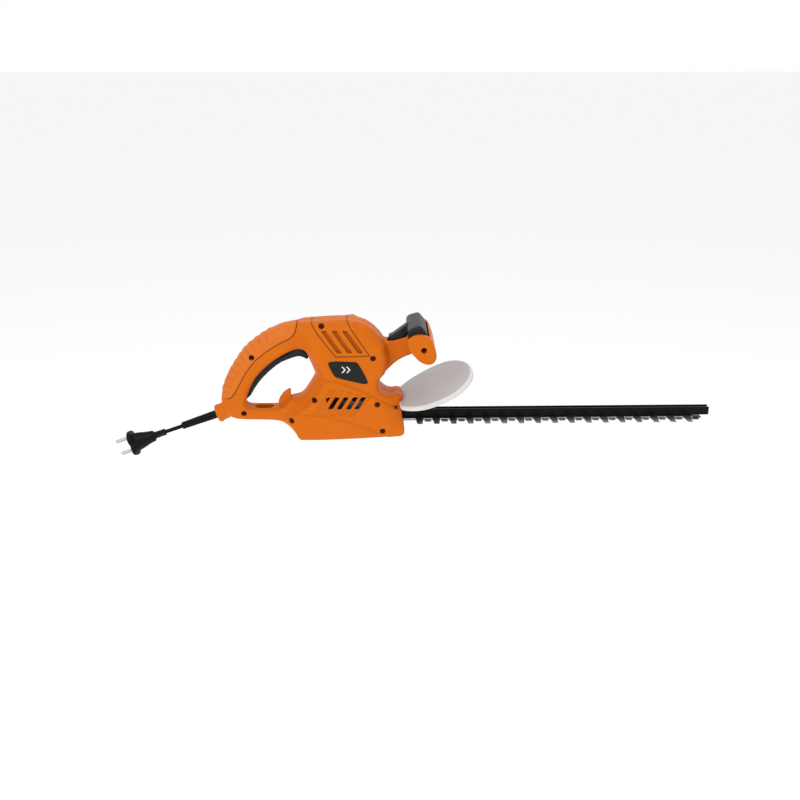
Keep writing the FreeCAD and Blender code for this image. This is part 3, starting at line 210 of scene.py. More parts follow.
class Block:
    """A grid of points in millimetres on which distance fields are worked out."""

    def __init__(self, low, high, step):
        self.low, self.step = np.array(low, float), step
        along = [np.arange(a, b, step, dtype=np.float32) for a, b in zip(low, high)]
        self.x = along[0][:, None, None]
        self.y = along[1][None, :, None]
        self.z = along[2][None, None, :]

    def outline(self, points):
        """Distance to a closed (x, z) polygon, negative inside."""
        x, z = self.x[:, 0, :], self.z[:, 0, :]
        nearest = np.full((x.shape[0], z.shape[1]), 1e9, np.float32)
        inside = np.zeros(nearest.shape, bool)
        for (ax, az), (bx, bz) in zip(points, points[1:] + points[:1]):
            ex, ez = bx - ax, bz - az
            t = np.clip(((x - ax) * ex + (z - az) * ez) / (ex * ex + ez * ez), 0, 1)
            nearest = np.minimum(nearest, (x - ax - ex * t) ** 2 + (z - az - ez * t) ** 2)
            if ez:
                inside ^= ((az > z) != (bz > z)) & (x < ex * (z - az) / ez + ax)
        return np.where(inside, -1, 1)[:, None, :] * np.sqrt(nearest)[:, None, :]

    def slab(self, points, half, around=0.0):
        """An (x, z) outline, half wide to each side of the mid-plane, with rounded edges."""
        if around:
            return meet(self.outline(points), np.abs(self.y) - half, around)
        return np.maximum(self.outline(points), np.abs(self.y) - half)

    def box(self, x0, x1, y0, y1, z0, z1):
        return np.maximum(np.maximum(np.abs(self.x - (x0 + x1) / 2) - (x1 - x0) / 2,
                                     np.abs(self.y - (y0 + y1) / 2) - (y1 - y0) / 2),
                          np.abs(self.z - (z0 + z1) / 2) - (z1 - z0) / 2)

    def rod_y(self, x, z, radius, y0, y1):
        across = np.sqrt((self.x - x) ** 2 + (self.z - z) ** 2) - radius
        return np.maximum(across, np.abs(self.y - (y0 + y1) / 2) - (y1 - y0) / 2)

    def rod(self, start, end, radius):
        start, end = np.array(start, float), np.array(end, float)
        length = np.linalg.norm(end - start)
        d = (end - start) / length
        px, py, pz = self.x - start[0], self.y - start[1], self.z - start[2]
        along = px * d[0] + py * d[1] + pz * d[2]
        away = np.sqrt(np.maximum(px ** 2 + py ** 2 + pz ** 2 - along ** 2, 0)) - radius
        return np.maximum(away, np.abs(along - length / 2) - length / 2)

    def surface(self, field):
        """Vertices and quads of the field's zero surface, one vertex in each crossed cell."""
        inside = field < 0
        n = np.array(field.shape) - 1
        corners = [(i, j, k) for i in (0, 1) for j in (0, 1) for k in (0, 1)]
        count = np.zeros(n, np.int8)
        for i, j, k in corners:
            count += inside[i:i + n[0], j:j + n[1], k:k + n[2]]
        crossed = (count > 0) & (count < 8)
        cells = np.argwhere(crossed)
        index = np.full(n, -1, np.int64)
        index[crossed] = np.arange(len(cells))
        values = {c: field[tuple((cells + c).T)] for c in corners}
        total, hits = np.zeros((len(cells), 3)), np.zeros(len(cells))
        for a in corners:
            for axis in range(3):
                if a[axis] == 0:
                    b = tuple(1 if i == axis else a[i] for i in range(3))
                    cross = (values[a] < 0) != (values[b] < 0)
                    t = values[a][cross] / (values[a][cross] - values[b][cross])
                    point = np.tile(np.array(a, float), (len(t), 1))
                    point[:, axis] = t
                    total[cross] += point
                    hits += cross
        points = self.low + self.step * (cells + total / hits[:, None])
        quads = []
        for axis in range(3):
            b, c = (axis + 1) % 3, (axis + 2) % 3
            low_side = tuple(slice(0, -1) if i == axis else slice(None) for i in range(3))
            high_side = tuple(slice(1, None) if i == axis else slice(None) for i in range(3))
            edge = np.argwhere(inside[low_side] != inside[high_side])
            edge = edge[(edge[:, b] > 0) & (edge[:, c] > 0) & (edge[:, b] < n[b]) & (edge[:, c] < n[c])]
            ring = []
            for db, dc in ((-1, -1), (0, -1), (0, 0), (-1, 0)):
                cell = edge.copy()
                cell[:, b] += db
                cell[:, c] += dc
                ring.append(index[tuple(cell.T)])
            ring = np.stack(ring, 1)
            outward = inside[tuple(edge.T)]
            quads += [ring[outward], ring[~outward][:, ::-1]]
        return points, np.concatenate(quads)


def meet(a, b, radius):
    """Where two fields overlap, with the edge between them rounded."""
    u, v = np.maximum(a + radius, 0), np.maximum(b + radius, 0)
    return np.minimum(np.maximum(a, b), -radius) + np.sqrt(u * u + v * v)


def blend(a, b, reach):
    """Two fields joined with a fillet."""
    h = np.clip(0.5 + 0.5 * (b - a) / reach, 0, 1)
    return b + (a - b) * h - reach * h * (1 - h)


def smooth_step(t):
    t = np.clip(t, 0, 1)
    return t * t * (3 - 2 * t)


def softened(points, rounds=2):
    """A closed polygon with its corners cut, twice by default."""
    for _ in range(rounds):
        cut = []
        for (ax, az), (bx, bz) in zip(points, points[1:] + points[:1]):
            cut += [(0.75 * ax + 0.25 * bx, 0.75 * az + 0.25 * bz),
                    (0.25 * ax + 0.75 * bx, 0.25 * az + 0.75 * bz)]
        points = cut
    return points


def on_side(side, points, quads):
    """A surface made for the right side, mirrored across the mid-plane for the left."""
    return (points, quads) if side > 0 else (points * (1, -1, 1), quads[:, ::-1])


def finish_piece(piece, body, slot_name, nodes=(), material=None):
    piece.data.materials.append(MATERIALS[material or slot_name])
    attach(piece, body)
    if nodes:
        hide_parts(*nodes)
    return piece


def mesh_piece(name, points, faces, body, slot_name, nodes=(), material=None, smooth=True):
    """A piece from points in millimetres in the row frame."""
    mesh = bpy.data.meshes.new(name)
    mesh.from_pydata([tuple(p) for p in np.asarray(points) * MM], [],
                     [tuple(int(i) for i in f) for f in faces])
    mesh.polygons.foreach_set("use_smooth", [smooth] * len(mesh.polygons))
    mesh.update()
    piece = bpy.data.objects.new(name, mesh)
    bpy.context.collection.objects.link(piece)
    return finish_piece(piece, body, slot_name, nodes, material)


def line_distance(points, path):
    """Distance in (x, z) from each point to an open polyline."""
    nearest = np.full(len(points), 1e9)
    for (ax, az), (bx, bz) in zip(path, path[1:]):
        ex, ez = bx - ax, bz - az
        t = np.clip(((points[:, 0] - ax) * ex + (points[:, 2] - az) * ez) / (ex * ex + ez * ez), 0, 1)
        nearest = np.minimum(nearest, np.hypot(points[:, 0] - ax - ex * t, points[:, 2] - az - ez * t))
    return nearest


def shade_band_mask(points, paths, half_width, least_y):
    """How near each point is to one of the paths, on the flanks only; used for bands of painted shade."""
    mask = np.zeros(len(points))
    for path in paths:
        mask = np.maximum(mask, np.clip(1.6 - line_distance(points, path) / half_width, 0, 1))
    return mask * (np.abs(points[:, 1]) > least_y)


def within(points, slot):
    """Whether each point is inside a convex (x, z) outline that runs clockwise."""
    inside = np.ones(len(points), bool)
    for (ax, az), (bx, bz) in zip(slot, slot[1:] + slot[:1]):
        inside &= (bx - ax) * (points[:, 2] - az) - (bz - az) * (points[:, 0] - ax) < 0.5
    return inside


def paint_shade(piece, shade):
    """Stores painted shade in an attribute that the finish reads."""
    attribute = piece.data.attributes.new("painted_shade", "FLOAT", "POINT")
    attribute.data.foreach_set("value", np.asarray(shade, np.float32))


# ---------------------------------------------------------------- the cord's line

TILT = math.radians(19.6)
NECK_MOUTH = np.array((-262.5, 0, 5.2))
ALONG = np.array((-math.cos(TILT), 0, -math.sin(TILT)))
RISE = np.array((-math.sin(TILT), 0, math.cos(TILT)))
CORD_DIAMETER = 5.5
CORD_ROUTE = [(-28.0, 0.0), (0.0, 0.1), (30.0, -0.1), (60.0, -0.35), (88.0, 0.0)]


def on_cord(s, rise=0.0):
    return NECK_MOUTH + ALONG * s + RISE * rise


def from_cord_axes(points):
    """Points given as (distance along the cord, y, rise) moved into the row frame."""
    points = np.asarray(points)
    moved = NECK_MOUTH + points[:, :1] * ALONG + points[:, 2:] * RISE
    moved[:, 1] = points[:, 1]
    return moved


curve = bpy.data.curves.new("mains_cord", "CURVE")
curve.dimensions = "3D"
line = curve.splines.new("NURBS")
line.points.add(len(CORD_ROUTE) - 1)
for control, (s, rise) in zip(line.points, CORD_ROUTE):
    control.co = (*(on_cord(s, rise) * MM), 1)
line.order_u = 3
line.use_endpoint_u = True
curve.bevel_depth = CORD_DIAMETER / 2 * MM
curve.bevel_resolution = 8
curve.use_fill_caps = True
cord = bpy.data.objects.new("mains_cord", curve)
bpy.context.collection.objects.link(cord)
finish_piece(cord, "housing", "cord_rubber", ["cord"])

# ---------------------------------------------------------------- housing

SILHOUETTE = [
    (-253.3, 28.4), (-250.4, 43.8), (-244.8, 59.9), (-237.6, 73.5), (-227, 90), (-217, 103),
    (-203.5, 115), (-185, 128), (-166, 137.6), (-145, 142.2), (-128.5, 143.6), (-109, 144.8),
    (-90, 145.9), (-68, 146.2), (-63, 144.8), (-43, 138.0), (-22.7, 116.3), (-17, 92), (-20.5, 72),
    (-28, 65), (-31, 59), (-31, 51), (-27.5, 44), (-19, 38), (-11.7, 37.4), (-4, 39.8), (1.6, 38),
    (3.8, 33), (2.0, 27), (1.2, 19), (1.8, 10.4), (3.2, 0.8), (5.7, -8), (5.7, -16.7), (2, -20.2),
    (-8, -21.2), (-39, -23.4), (-98, -26), (-137, -26.2), (-141.5, -26), (-145.5, -21.6),
    (-148, -15.5), (-155, -8.4), (-163, -4.4), (-172, -1.6), (-187, 0), (-227, 0.4), (-240, 4),
    (-250, 14),
]
OPENING = [
    (-219, 27.5), (-214, 42), (-206, 59), (-194, 73), (-179, 86), (-163, 96), (-146, 103.5),
    (-136, 102.5), (-130.5, 97.5), (-127.6, 89), (-124, 81.7), (-120.2, 71), (-118.4, 67),
    (-120.6, 63), (-128, 50), (-138, 35.5), (-146, 32.5), (-157, 30.5), (-163, 21), (-171, 17.4),
    (-210, 17.4), (-219, 20),
]
ARM = [(-36, 64), (-24, 67), (-17.5, 73.5), (-8, 83), (3, 90.5), (20, 97), (24, 124), (6, 119.5),
       (-15, 113.5), (-36, 119)]
BAR = [(8.5, 124), (15, 130), (22, 132.5), (31, 132.3), (39, 130), (43, 124), (47, 113), (49.6, 103),
       (47, 95), (41, 91), (34, 91.5), (26, 95), (17.5, 104), (10, 113)]
UPPER_CREASE = ((-150, -104, -88, -64, -42.7, -19.4, 10), (66, 63.5, 61.8, 53, 42.9, 29, 13))
BELLY_CREASE = ((-175, -150.5, -136.8, -104.8, -72.7, -43, -27.6, 0),
                (17, 15.8, 14.8, 11, 3, -7.5, -15.3, -30))
RAMP_START = ((-26, 5, 30, 70, 100, 150), (-168, -172, -152, -128, -138, -152))
RAMP_REACH = 27.0
SCREWS = [(-207, 93.2, 17.5, 10.5), (-221, 11, 17.5, 10.5), (-153, 4, 24, 26),
          (-108.8, 139.5, 33, 20), (-38, 95, 33, 27), (-120, 35, 34, 27), (31.6, 111.7, 54, 29)]
CASE_SCREWS = [(-32.4, 28.5, 34, 30.0), (-25.2, -11, 34, 29.5)]
BADGE = [(-98.5, 91.6), (-62, 90.4), (-58.5, 88), (-45.5, 63), (-46.5, 58.6), (-51.5, 58.4),
         (-88, 67.6), (-92.3, 70.5), (-100.6, 87.5)]
GRIP = [(-268, 33.6), (-250, 33.7), (-241, 33.6), (-237, 36), (-231, 44.5), (-226, 54), (-216, 72),
        (-202.6, 89), (-190, 99.5), (-177, 108), (-165, 115), (-156, 119), (-149.5, 123.5),
        (-145.5, 130), (-143.5, 138), (-142, 160), (-268, 160)]
TRIGGER_SLOT = [(-227, 27), (-213, 27), (-203, 48), (-190, 66), (-170, 82), (-150, 89), (-129, 88),
                (-123, 88), (-126, 104), (-146, 112), (-165, 108), (-184, 99), (-201, 83),
                (-214, 64), (-227, 40)]
SADDLE = [[(-126, 153.8), (-121.6, 141), (-111.6, 126.6), (-89.7, 97.8), (-42.6, 98.8),
           (-66.7, 134.5), (-75, 148), (-79.5, 157)]]
UPPER_SLOTS = [[(x, 134), (x + 6.8, 134), (x + 28.4, 103), (x + 21.6, 103)]
               for x in (-109, -94.6, -80.2)]
VENTS = [[(x, 39.6), (x + 6.6, 39.6), (x - 3.9, 22.4), (x - 10.4, 22.4)]
         for x in (-91.3, -78.9, -66.0, -54.6)]
VENTS.append([(-103.8, 38.7), (-97.3, 39.8), (-103.5, 31)])
VENT_FRAMES = [[(x + 2.6, 50 - lift), (x + 9.0, 50 - lift), (x - 15.6, 13), (x - 22.0, 13),
                (x + 2.6, 50 - lift)]
               for x, lift in ((-101, 0), (-88.7, 1), (-76.3, 3), (-63.5, 6), (-50.8, 10))]
WAIST = [(-121, 88), (-104, 62.3), (-142, 16)]
GRIP_LINE = GRIP[2:16]
WALL, SEAM, EDGE_ROUND = 2.6, 0.06, 7.5
FLANK_HALF, HANDLE_HALF, ARM_HALF, BAR_END = 32.2, 17.5, 14.5, 54.0
CREASE_FLARE, BELLY_STEP, NOSE_TAPER = 3.4, 3.0, 8.5
NECK_RADIUS, COLLAR_RADIUS = 12.2, 12.9
POST_RADIUS, HEAD_WELL, SHANK_BORE = 5.8, 4.0, 2.3
SLOT_DEPTH, LINE_HALF = 4.2, 0.75
TRIGGER_PIVOT, LEVER_PIVOT, RAIL_SCREW = (-221.5, 34.5), (-8, 110), (-6, 22.2)
TRIGGER_BORE, LEVER_BORE = 2.05, 1.65
LOOP_X, LOOP_STRAIGHT, LOOP_RADIUS = -193, 3.5, 10.5

grid = Block((-271, -57, -30), (53, 2, 153), 1.0)
x, y, z = grid.x, grid.y, grid.z
upper = np.interp(x, *UPPER_CREASE).astype(np.float32)
belly = np.interp(x, *BELLY_CREASE).astype(np.float32)
flank = FLANK_HALF + np.where(z < upper, CREASE_FLARE * (1 - np.exp(-np.abs(upper - z) / 2.6)), 0)
flank = flank - BELLY_STEP * smooth_step((belly - z) / 1.6)
flank = flank - NOSE_TAPER * smooth_step((x + 30) / 34) * smooth_step((z + 6) / 20)
flank = flank - 0.0016 * np.maximum(z - 96, 0) ** 2
ramp_start = np.interp(z, *RAMP_START).astype(np.float32)
ramp = HANDLE_HALF + HANDLE_HALF * smooth_step((x - ramp_start) / RAMP_REACH)
hole = grid.outline(softened(OPENING, 1))
beside_hole = 16.0 + 1.25 * np.maximum(hole, 0)
beside_hole = np.where(x > ramp_start - 12, beside_hole, 60)
half_width = blend(flank, np.minimum(ramp, beside_hole), 1.5)
front_top = smooth_step((x + 80) / 24) * smooth_step((z - 98) / 22)
profile = np.maximum(grid.outline(softened(SILHOUETTE, 1)), -hole)
crown = smooth_step((z - 96) / 30) * (6 + 4 * smooth_step((x + 170) / 40)) * (1 - front_top)
outer = meet(profile, np.abs(y) - half_width, EDGE_ROUND + crown - 3.5 * front_top)
facet = (profile + np.abs(y) - half_width) * 0.707 - 7 + 16 * front_top
outer = meet(outer, facet, 1.2)
arm = grid.slab(softened(ARM, 1), ARM_HALF, 4.5)
bar = grid.slab(softened(BAR), BAR_END, 4.0)
neck = grid.rod(on_cord(-34, 2.5), on_cord(-2.6), NECK_RADIUS)
collar = grid.rod(on_cord(-7.6), on_cord(-2.6), COLLAR_RADIUS)
outer = blend(blend(outer, arm, 3.5), bar, 3)
outer = blend(outer, np.minimum(neck, collar), 3)
wall = WALL + 2.4 * smooth_step((-90 - x) / 10) * smooth_step((x + 182) / 10)
hollow = outer + wall
shell = np.maximum(outer, -hollow)
fin = [(-173, 12), (-172.7, 25.7), (-170.6, 30.3), (-165.6, 37.2), (-160, 41), (-155.2, 43.2),
       (-155, 12)]
shell = blend(shell, grid.slab(fin, 4.6, 1.0), 1.6)
for sx, sz, out, seat in SCREWS:
    post = grid.rod_y(sx, sz, POST_RADIUS, -out - 6, 0)
    shell = np.minimum(shell, np.maximum(post, outer))
for sx, sz, out, seat in CASE_SCREWS:
    post = grid.rod_y(sx, sz, POST_RADIUS, -out - 6, -27)
    shell = np.minimum(shell, np.maximum(post, outer))
shell = np.minimum(shell, np.maximum(grid.rod_y(*TRIGGER_PIVOT, 4.6, -18, -8), outer))
loop_x = np.maximum(np.abs(x - LOOP_X) - LOOP_STRAIGHT, 0)
loop = np.sqrt(loop_x ** 2 + y ** 2) - LOOP_RADIUS
shell = np.minimum(shell, np.maximum(loop - 1.6, outer))
shell = np.maximum(shell, -np.maximum(loop, np.abs(z - 8) - 22))
rail_mouth = grid.box(-20, 12, -12.6, 12.6, -5.6, 12.6)
lever_head_recess = grid.slab([(8, 123), (39.5, 123), (39.5, 146), (8, 146)], 42.6)
lever_neck_slot = grid.slab([(-17, 104), (0, 104), (14, 116), (14, 134), (-17, 128)], 9.1)
trigger_slot = grid.slab(TRIGGER_SLOT, 7.6)
sleeve_bore = grid.rod(on_cord(-20), on_cord(6), 5.9)
guard_slot = grid.slab([(-12, 17.4), (8, 26.3), (8, 30.8), (-12, 21.9)], 22.8)
cuts = [
    rail_mouth, lever_head_recess, lever_neck_slot, trigger_slot, sleeve_bore, guard_slot,
    grid.rod_y(*TRIGGER_PIVOT, TRIGGER_BORE, -13.7, 0),
    grid.rod_y(*LEVER_PIVOT, LEVER_BORE, -13.7, 0),
    grid.rod_y(*RAIL_SCREW, 1.8, -40, -15),
]
cuts += [grid.slab(vent, 60) for vent in VENTS]
for cut in cuts:
    shell = np.maximum(shell, -cut)
for slot in UPPER_SLOTS:
    floor_of_slot = outer + SLOT_DEPTH
    shell = np.minimum(shell, np.maximum(np.maximum(grid.slab(slot, 60) - 1.8, outer), -(outer + 7.5)))
    shell = np.maximum(shell, -np.maximum(grid.slab(slot, 60), -floor_of_slot))
badge_seat = np.maximum(grid.outline(softened(BADGE, 1)) - 0.25, -(outer + 0.8))
shell = np.minimum(shell, np.maximum(np.maximum(grid.outline(BADGE) - 2, outer), -(outer + 3.2)))
shell = np.maximum(shell, -np.maximum(badge_seat, 20 - np.abs(y)))
grip_zone = grid.outline(softened(GRIP, 1))
behind_grip = np.maximum(np.maximum(grip_zone - 3, outer), -(outer + 5))
shell = np.minimum(shell, np.maximum(behind_grip, -trigger_slot))
shell = np.maximum(shell, -np.maximum(grip_zone - 0.14, -(outer + 2.3)))
half = np.maximum(shell, y + SEAM)
recessed = half
for sx, sz, out, seat in SCREWS:
    recessed = np.maximum(recessed, -grid.rod_y(sx, sz, HEAD_WELL, -70, -seat))
    recessed = np.maximum(recessed, -grid.rod_y(sx, sz, SHANK_BORE, -seat - 1, 3))
plain = half
for sx, sz, out, seat in SCREWS:
    plain = np.maximum(plain, -grid.rod_y(sx, sz, SHANK_BORE, -10, 3))
for sx, sz, out, seat in CASE_SCREWS:
    well = np.minimum(grid.rod_y(sx, sz, HEAD_WELL, -70, -seat),
                      grid.rod_y(sx, sz, SHANK_BORE, -seat - 1, -26))
    recessed, plain = np.maximum(recessed, -well), np.maximum(plain, -well)
for name, side, field in (("right", 1, recessed), ("left", -1, plain)):
    points, quads = on_side(side, *grid.surface(field))
    piece = mesh_piece(name + "_shell", points, quads, "housing", "orange_plastic",
                       [name + "_housing"])
    # Painted shade: dark bands along the saddle outline, the grip's edge, the vent frames, the body creases
    # and the waist edge.
    shade = shade_band_mask(points, SADDLE + [GRIP_LINE], LINE_HALF, -1)
    shade = np.maximum(shade, 0.34 * shade_band_mask(points, VENT_FRAMES, 0.7, 30))
    shade = np.maximum(shade, 0.22 * shade_band_mask(points, [list(zip(*BELLY_CREASE))], 0.9, 26))
    shade = np.maximum(shade, 0.15 * shade_band_mask(points, [list(zip(*UPPER_CREASE)), WAIST], 0.9, 22))
    # Painted shade inside the cord loop's slot.
    from_loop = np.hypot(np.maximum(np.abs(points[:, 0] - LOOP_X) - LOOP_STRAIGHT, 0), points[:, 1])
    shade = np.maximum(shade, 0.8 * (from_loop < LOOP_RADIUS + 0.5) * (points[:, 2] < 15.5))
    # Painted shade on the floors of the sunk upper slots.
    sunk = np.abs(points[:, 1]) < 31.2
    for slot in UPPER_SLOTS:
        shade = np.maximum(shade, 0.4 * sunk * within(points, slot))
    paint_shade(piece, shade)

# Grip pads, with scallops along the arch of the handle
ARCH_X, ARCH_Z, ARCH_RADIUS, SCALLOP_PITCH = -126, 19, 126, 12.0
turn = np.degrees(np.arctan2(z - ARCH_Z, x - ARCH_X))
arc = np.radians(turn) * ARCH_RADIUS
edge_depth = np.maximum(-profile, 0)
scallop = np.abs(np.sin(np.pi * arc / SCALLOP_PITCH)) ** 0.7
fade = smooth_step((17 - edge_depth) / 11) * smooth_step((turn - 112) / 8) * smooth_step((172 - turn) / 6)
skin_face = outer - 0.25 - 1.5 * scallop * fade
grip = np.maximum(np.maximum(skin_face, grip_zone + 0.14), -(outer + 2.05))
grip = np.maximum(grip, y + SEAM)
for name, side in (("right", 1), ("left", -1)):
    field = np.maximum(grip, -grid.rod_y(*SCREWS[0][:2], HEAD_WELL, -70, 0)) if side > 0 else grip
    points, quads = on_side(side, *grid.surface(field))
    piece = mesh_piece(name + "_grip", points, quads, "housing", "orange_grip", [name + "_grip_pad"])
    angle = np.degrees(np.arctan2(points[:, 2] - ARCH_Z, points[:, 0] - ARCH_X))
    at = np.radians(angle) * ARCH_RADIUS
    depth = ARCH_RADIUS - np.hypot(points[:, 0] - ARCH_X, points[:, 2] - ARCH_Z)
    near = np.abs((at / SCALLOP_PITCH + 0.5) % 1 - 0.5) * SCALLOP_PITCH
    # Painted shade in the creases between the scallops.
    crease_shade = 0.22 * np.clip(1.5 - near / 1.4, 0, 1) * smooth_step((15 - depth) / 8)
    crease_shade = crease_shade * smooth_step((angle - 112) / 8) * smooth_step((172 - angle) / 6)
    paint_shade(piece, crease_shade)

# Screws with cross recesses
TURNS, HEAD_RADIUS, SHANK_RADIUS = 48, 3.7, 2.0
CROSS_REACH, CROSS_HALF = 2.2, 0.6
screw_turns = np.linspace(0, 2 * math.pi, TURNS, endpoint=False)
cos_turn, sin_turn = np.abs(np.cos(screw_turns)) + 1e-6, np.abs(np.sin(screw_turns)) + 1e-6
cross = np.maximum(np.minimum(CROSS_REACH / cos_turn, CROSS_HALF / sin_turn),
                   np.minimum(CROSS_REACH / sin_turn, CROSS_HALF / cos_turn))
screw_points, screw_faces = [], []
placed = [(sx, sz, seat, 6.0, 1) for sx, sz, out, seat in SCREWS]
placed += [(sx, sz, seat, -24.0, side) for sx, sz, out, seat in CASE_SCREWS for side in (1, -1)]
for sx, sz, seat, tip, side in placed:
    first = len(screw_points)
    rings = [(tip, 1.2), (tip - 1.6, SHANK_RADIUS), (-seat, SHANK_RADIUS), (-seat, HEAD_RADIUS),
             (-seat - 1.5, HEAD_RADIUS), (-seat - 2.2, HEAD_RADIUS - 0.7), (-seat - 2.2, cross),
             (-seat - 1.0, cross * 0.9)]
    for level, radius in rings:
        screw_points += list(zip(sx + radius * np.cos(screw_turns), np.full(TURNS, side * level),
                                 sz + radius * np.sin(screw_turns)))
    starts = [first + i * TURNS for i in range(len(rings))]
    made = [[a + j, a + (j + 1) % TURNS, b + (j + 1) % TURNS, b + j]
            for a, b in zip(starts, starts[1:]) for j in range(TURNS)]
    made.append([starts[0] + j for j in range(TURNS)][::-1])
    made.append([starts[-1] + j for j in range(TURNS)])
    screw_faces += [face[::side] for face in made]
# The screws' dark brown stands in for the shade in their recesses: painted shade.
mesh_piece("recessed_screws", screw_points, screw_faces, "housing", "dark_screws",
           ["housing_screws"], smooth=False)

# Badges: a dark plate with a plain double chevron
small = Block((-104, -36, 54), (-41, -26, 96), 0.5)
plate = meet(small.outline(softened(BADGE, 1)), np.abs(small.y + 32.1) - 0.8, 0.5)
for name, side in (("right", 1), ("left", -1)):
    points, quads = on_side(side, *small.surface(plate))
    mesh_piece(name + "_name_plate", points, quads, "housing", "badge_black", [name + "_badge"])
    mark, faces = [], []
    for start in (-82.0, -75.5):
        first = len(mark)
        corners = [(start, 84), (start + 2.2, 84), (start + 6.2, 79.5), (start + 2.2, 75),
                   (start, 75), (start + 4, 79.5)]
        for depth in (32.95, 32.6):
            mark += [(cx, -side * depth, cz) for cx, cz in corners]
        for a, b, c, d in ((0, 1, 2, 5), (5, 2, 3, 4)):
            faces.append([first + i for i in (a, b, c, d)])
        for i in range(6):
            j = (i + 1) % 6
            faces.append([first + i, first + j, first + 6 + j, first + 6 + i])
    mesh_piece(name + "_chevrons", mark, faces, "housing", "badge_black", material="badge_mark",
               smooth=False)

# ---------------------------------------------------------------- trigger and front lever

TRIGGER = [(-223, 29.3), (-214, 30.3), (-203.5, 48.6), (-190, 65), (-170, 82), (-154, 88.6),
           (-142.5, 92.1), (-136.4, 90.3), (-131.5, 87.4), (-128.4, 88.4), (-131.5, 97), (-137, 102.5),
           (-145.4, 105), (-152, 102.5), (-158, 95.6), (-179.5, 87), (-199, 73), (-211.5, 56), (-224, 41),
           (-227, 33)]
small = Block((-229, -9, 27), (-126, 9, 109), 0.7)
trigger = small.slab(softened(TRIGGER, 1), 7.0, 2.2)
trigger = np.maximum(trigger, -small.rod_y(*TRIGGER_PIVOT, TRIGGER_BORE, -20, 20))
points, quads = small.surface(trigger)
mesh_piece("switch_trigger", points, quads, "trigger", "black_plastic", ["rear_trigger"])

LEVER_HEAD = [(10.6, 126.5), (9.4, 133), (10.6, 137.6), (16, 140.6), (24, 142.7), (27.6, 143.1),
              (31, 139.5), (37.3, 131.4), (36.8, 127.2), (33, 126.2)]
LEVER_NECK = [(-16, 113.6), (-16, 120.4), (-10, 123), (1, 131.2), (10, 138), (20, 136), (22, 127),
              (9, 124), (6.5, 118.6), (-3.6, 116.6), (-3.6, 105.6), (-12.4, 105.6), (-12.4, 114)]
small = Block((-20, -45, 103), (41, 45, 146), 0.8)
head = meet(small.outline(softened(LEVER_HEAD, 1)), np.abs(small.y) - 42, 3.0)
taper = 8.6 - 1.6 * smooth_step((small.x + 2) / 16)
stem = meet(small.outline(LEVER_NECK), np.abs(small.y) - taper, 2.0)
lever = blend(head, stem, 4)
lever = np.maximum(lever, -small.rod_y(*LEVER_PIVOT, LEVER_BORE, -20, 20))
points, quads = small.surface(lever)
mesh_piece("front_switch_bar", points, quads, "lever", "black_plastic", ["front_lever"])

# ---------------------------------------------------------------- hand guard

GUARD_CHORDS = ((0, 3, 10, 20, 33, 46, 59.5, 73, 84, 92, 97, 99),
                (38, 45, 55, 66, 74.5, 78.5, 79, 74.5, 61, 44, 25, 0))
GUARD_RISE = ((-12, 0, 30, 60, 103), (25.0, 29.2, 40.5, 54.0, 73.0))
RINGS, SPOKES = 26, 160


def guard_edge():
    """The guard's outline in plan, evenly spaced round it."""
    chord_x, chord_y = (np.array(v, float) for v in GUARD_CHORDS)
    plan = [(cx, -cy) for cx, cy in zip(chord_x, chord_y)]
    plan += [(cx, cy) for cx, cy in zip(chord_x[::-1][1:], chord_y[::-1][1:])]
    plan = np.array(softened(plan, 3))
    closed = np.vstack([plan, plan[:1]])
    length = np.concatenate([[0], np.cumsum(np.hypot(*np.diff(closed, axis=0).T))])
    at = np.linspace(0, length[-1], SPOKES, endpoint=False)
    return np.stack([np.interp(at, length, closed[:, i]) for i in (0, 1)], 1)


edge = guard_edge()
centre = np.array((52.0, 0.0))
rings = []
for r in np.linspace(0.04, 1, RINGS):
    plan = centre + (edge - centre) * r
    dish = -3.0 * (1 - r ** 2)
    rings.append(np.column_stack([plan, np.interp(plan[:, 0], *GUARD_RISE) + dish]))
normal = np.array((-math.sin(math.radians(23)), 0, math.cos(math.radians(23))))
outward = edge - centre
outward = outward / np.linalg.norm(outward, axis=1)[:, None]
rim = rings[-1]
for angle in np.radians((22, 45, 68, 90)):
    step = np.column_stack([outward * math.sin(angle) * 3.0, np.zeros(SPOKES)])
    rings.append(rim + step - normal * (3.0 * (1 - math.cos(angle))))
foot = rings[-1]
for drop in (1.2, 2.4, 3.6):
    rings.append(foot - normal * drop)
points = np.concatenate(rings)
faces = []
for i in range(len(rings) - 1):
    for j in range(SPOKES):
        k = (j + 1) % SPOKES
        faces.append((i * SPOKES + j, i * SPOKES + k, (i + 1) * SPOKES + k, (i + 1) * SPOKES + j))
faces.append(tuple(range(SPOKES))[::-1])
guard = mesh_piece("guard_tray", points, faces, "housing", "guard_plastic", ["hand_guard"])
# The top dish is painted darker than its rim and skirt: painted shade on the upward face.
paint_shade(guard, [0.46] * (RINGS * SPOKES) + [0.0] * ((len(rings) - RINGS) * SPOKES))
thick = guard.modifiers.new("wall", "SOLIDIFY")
thick.thickness, thick.offset = 1.8 * MM, 1.0
soft_edge = guard.modifiers.new("edges", "BEVEL")
soft_edge.width, soft_edge.segments, soft_edge.limit_method = 0.5 * MM, 2, "ANGLE"
tongue_points, tongue_faces = [], []
for ty in (-22, 22):
    tongue_points += [(-9.2, ty, 22.6), (8, ty, 30.4), (9.1, ty, 28.0), (-8.1, ty, 20.2)]
tongue_faces = [(0, 1, 2, 3), (7, 6, 5, 4)] + [(i, 4 + i, 4 + (i + 1) % 4, (i + 1) % 4) for i in range(4)]
tongue = mesh_piece("guard_tongue", tongue_points, tongue_faces, "housing", "guard_plastic",
                    smooth=False)
edge_round = tongue.modifiers.new("edges", "BEVEL")
edge_round.width, edge_round.segments = 0.6 * MM, 2

# ---------------------------------------------------------------- strain relief and plug


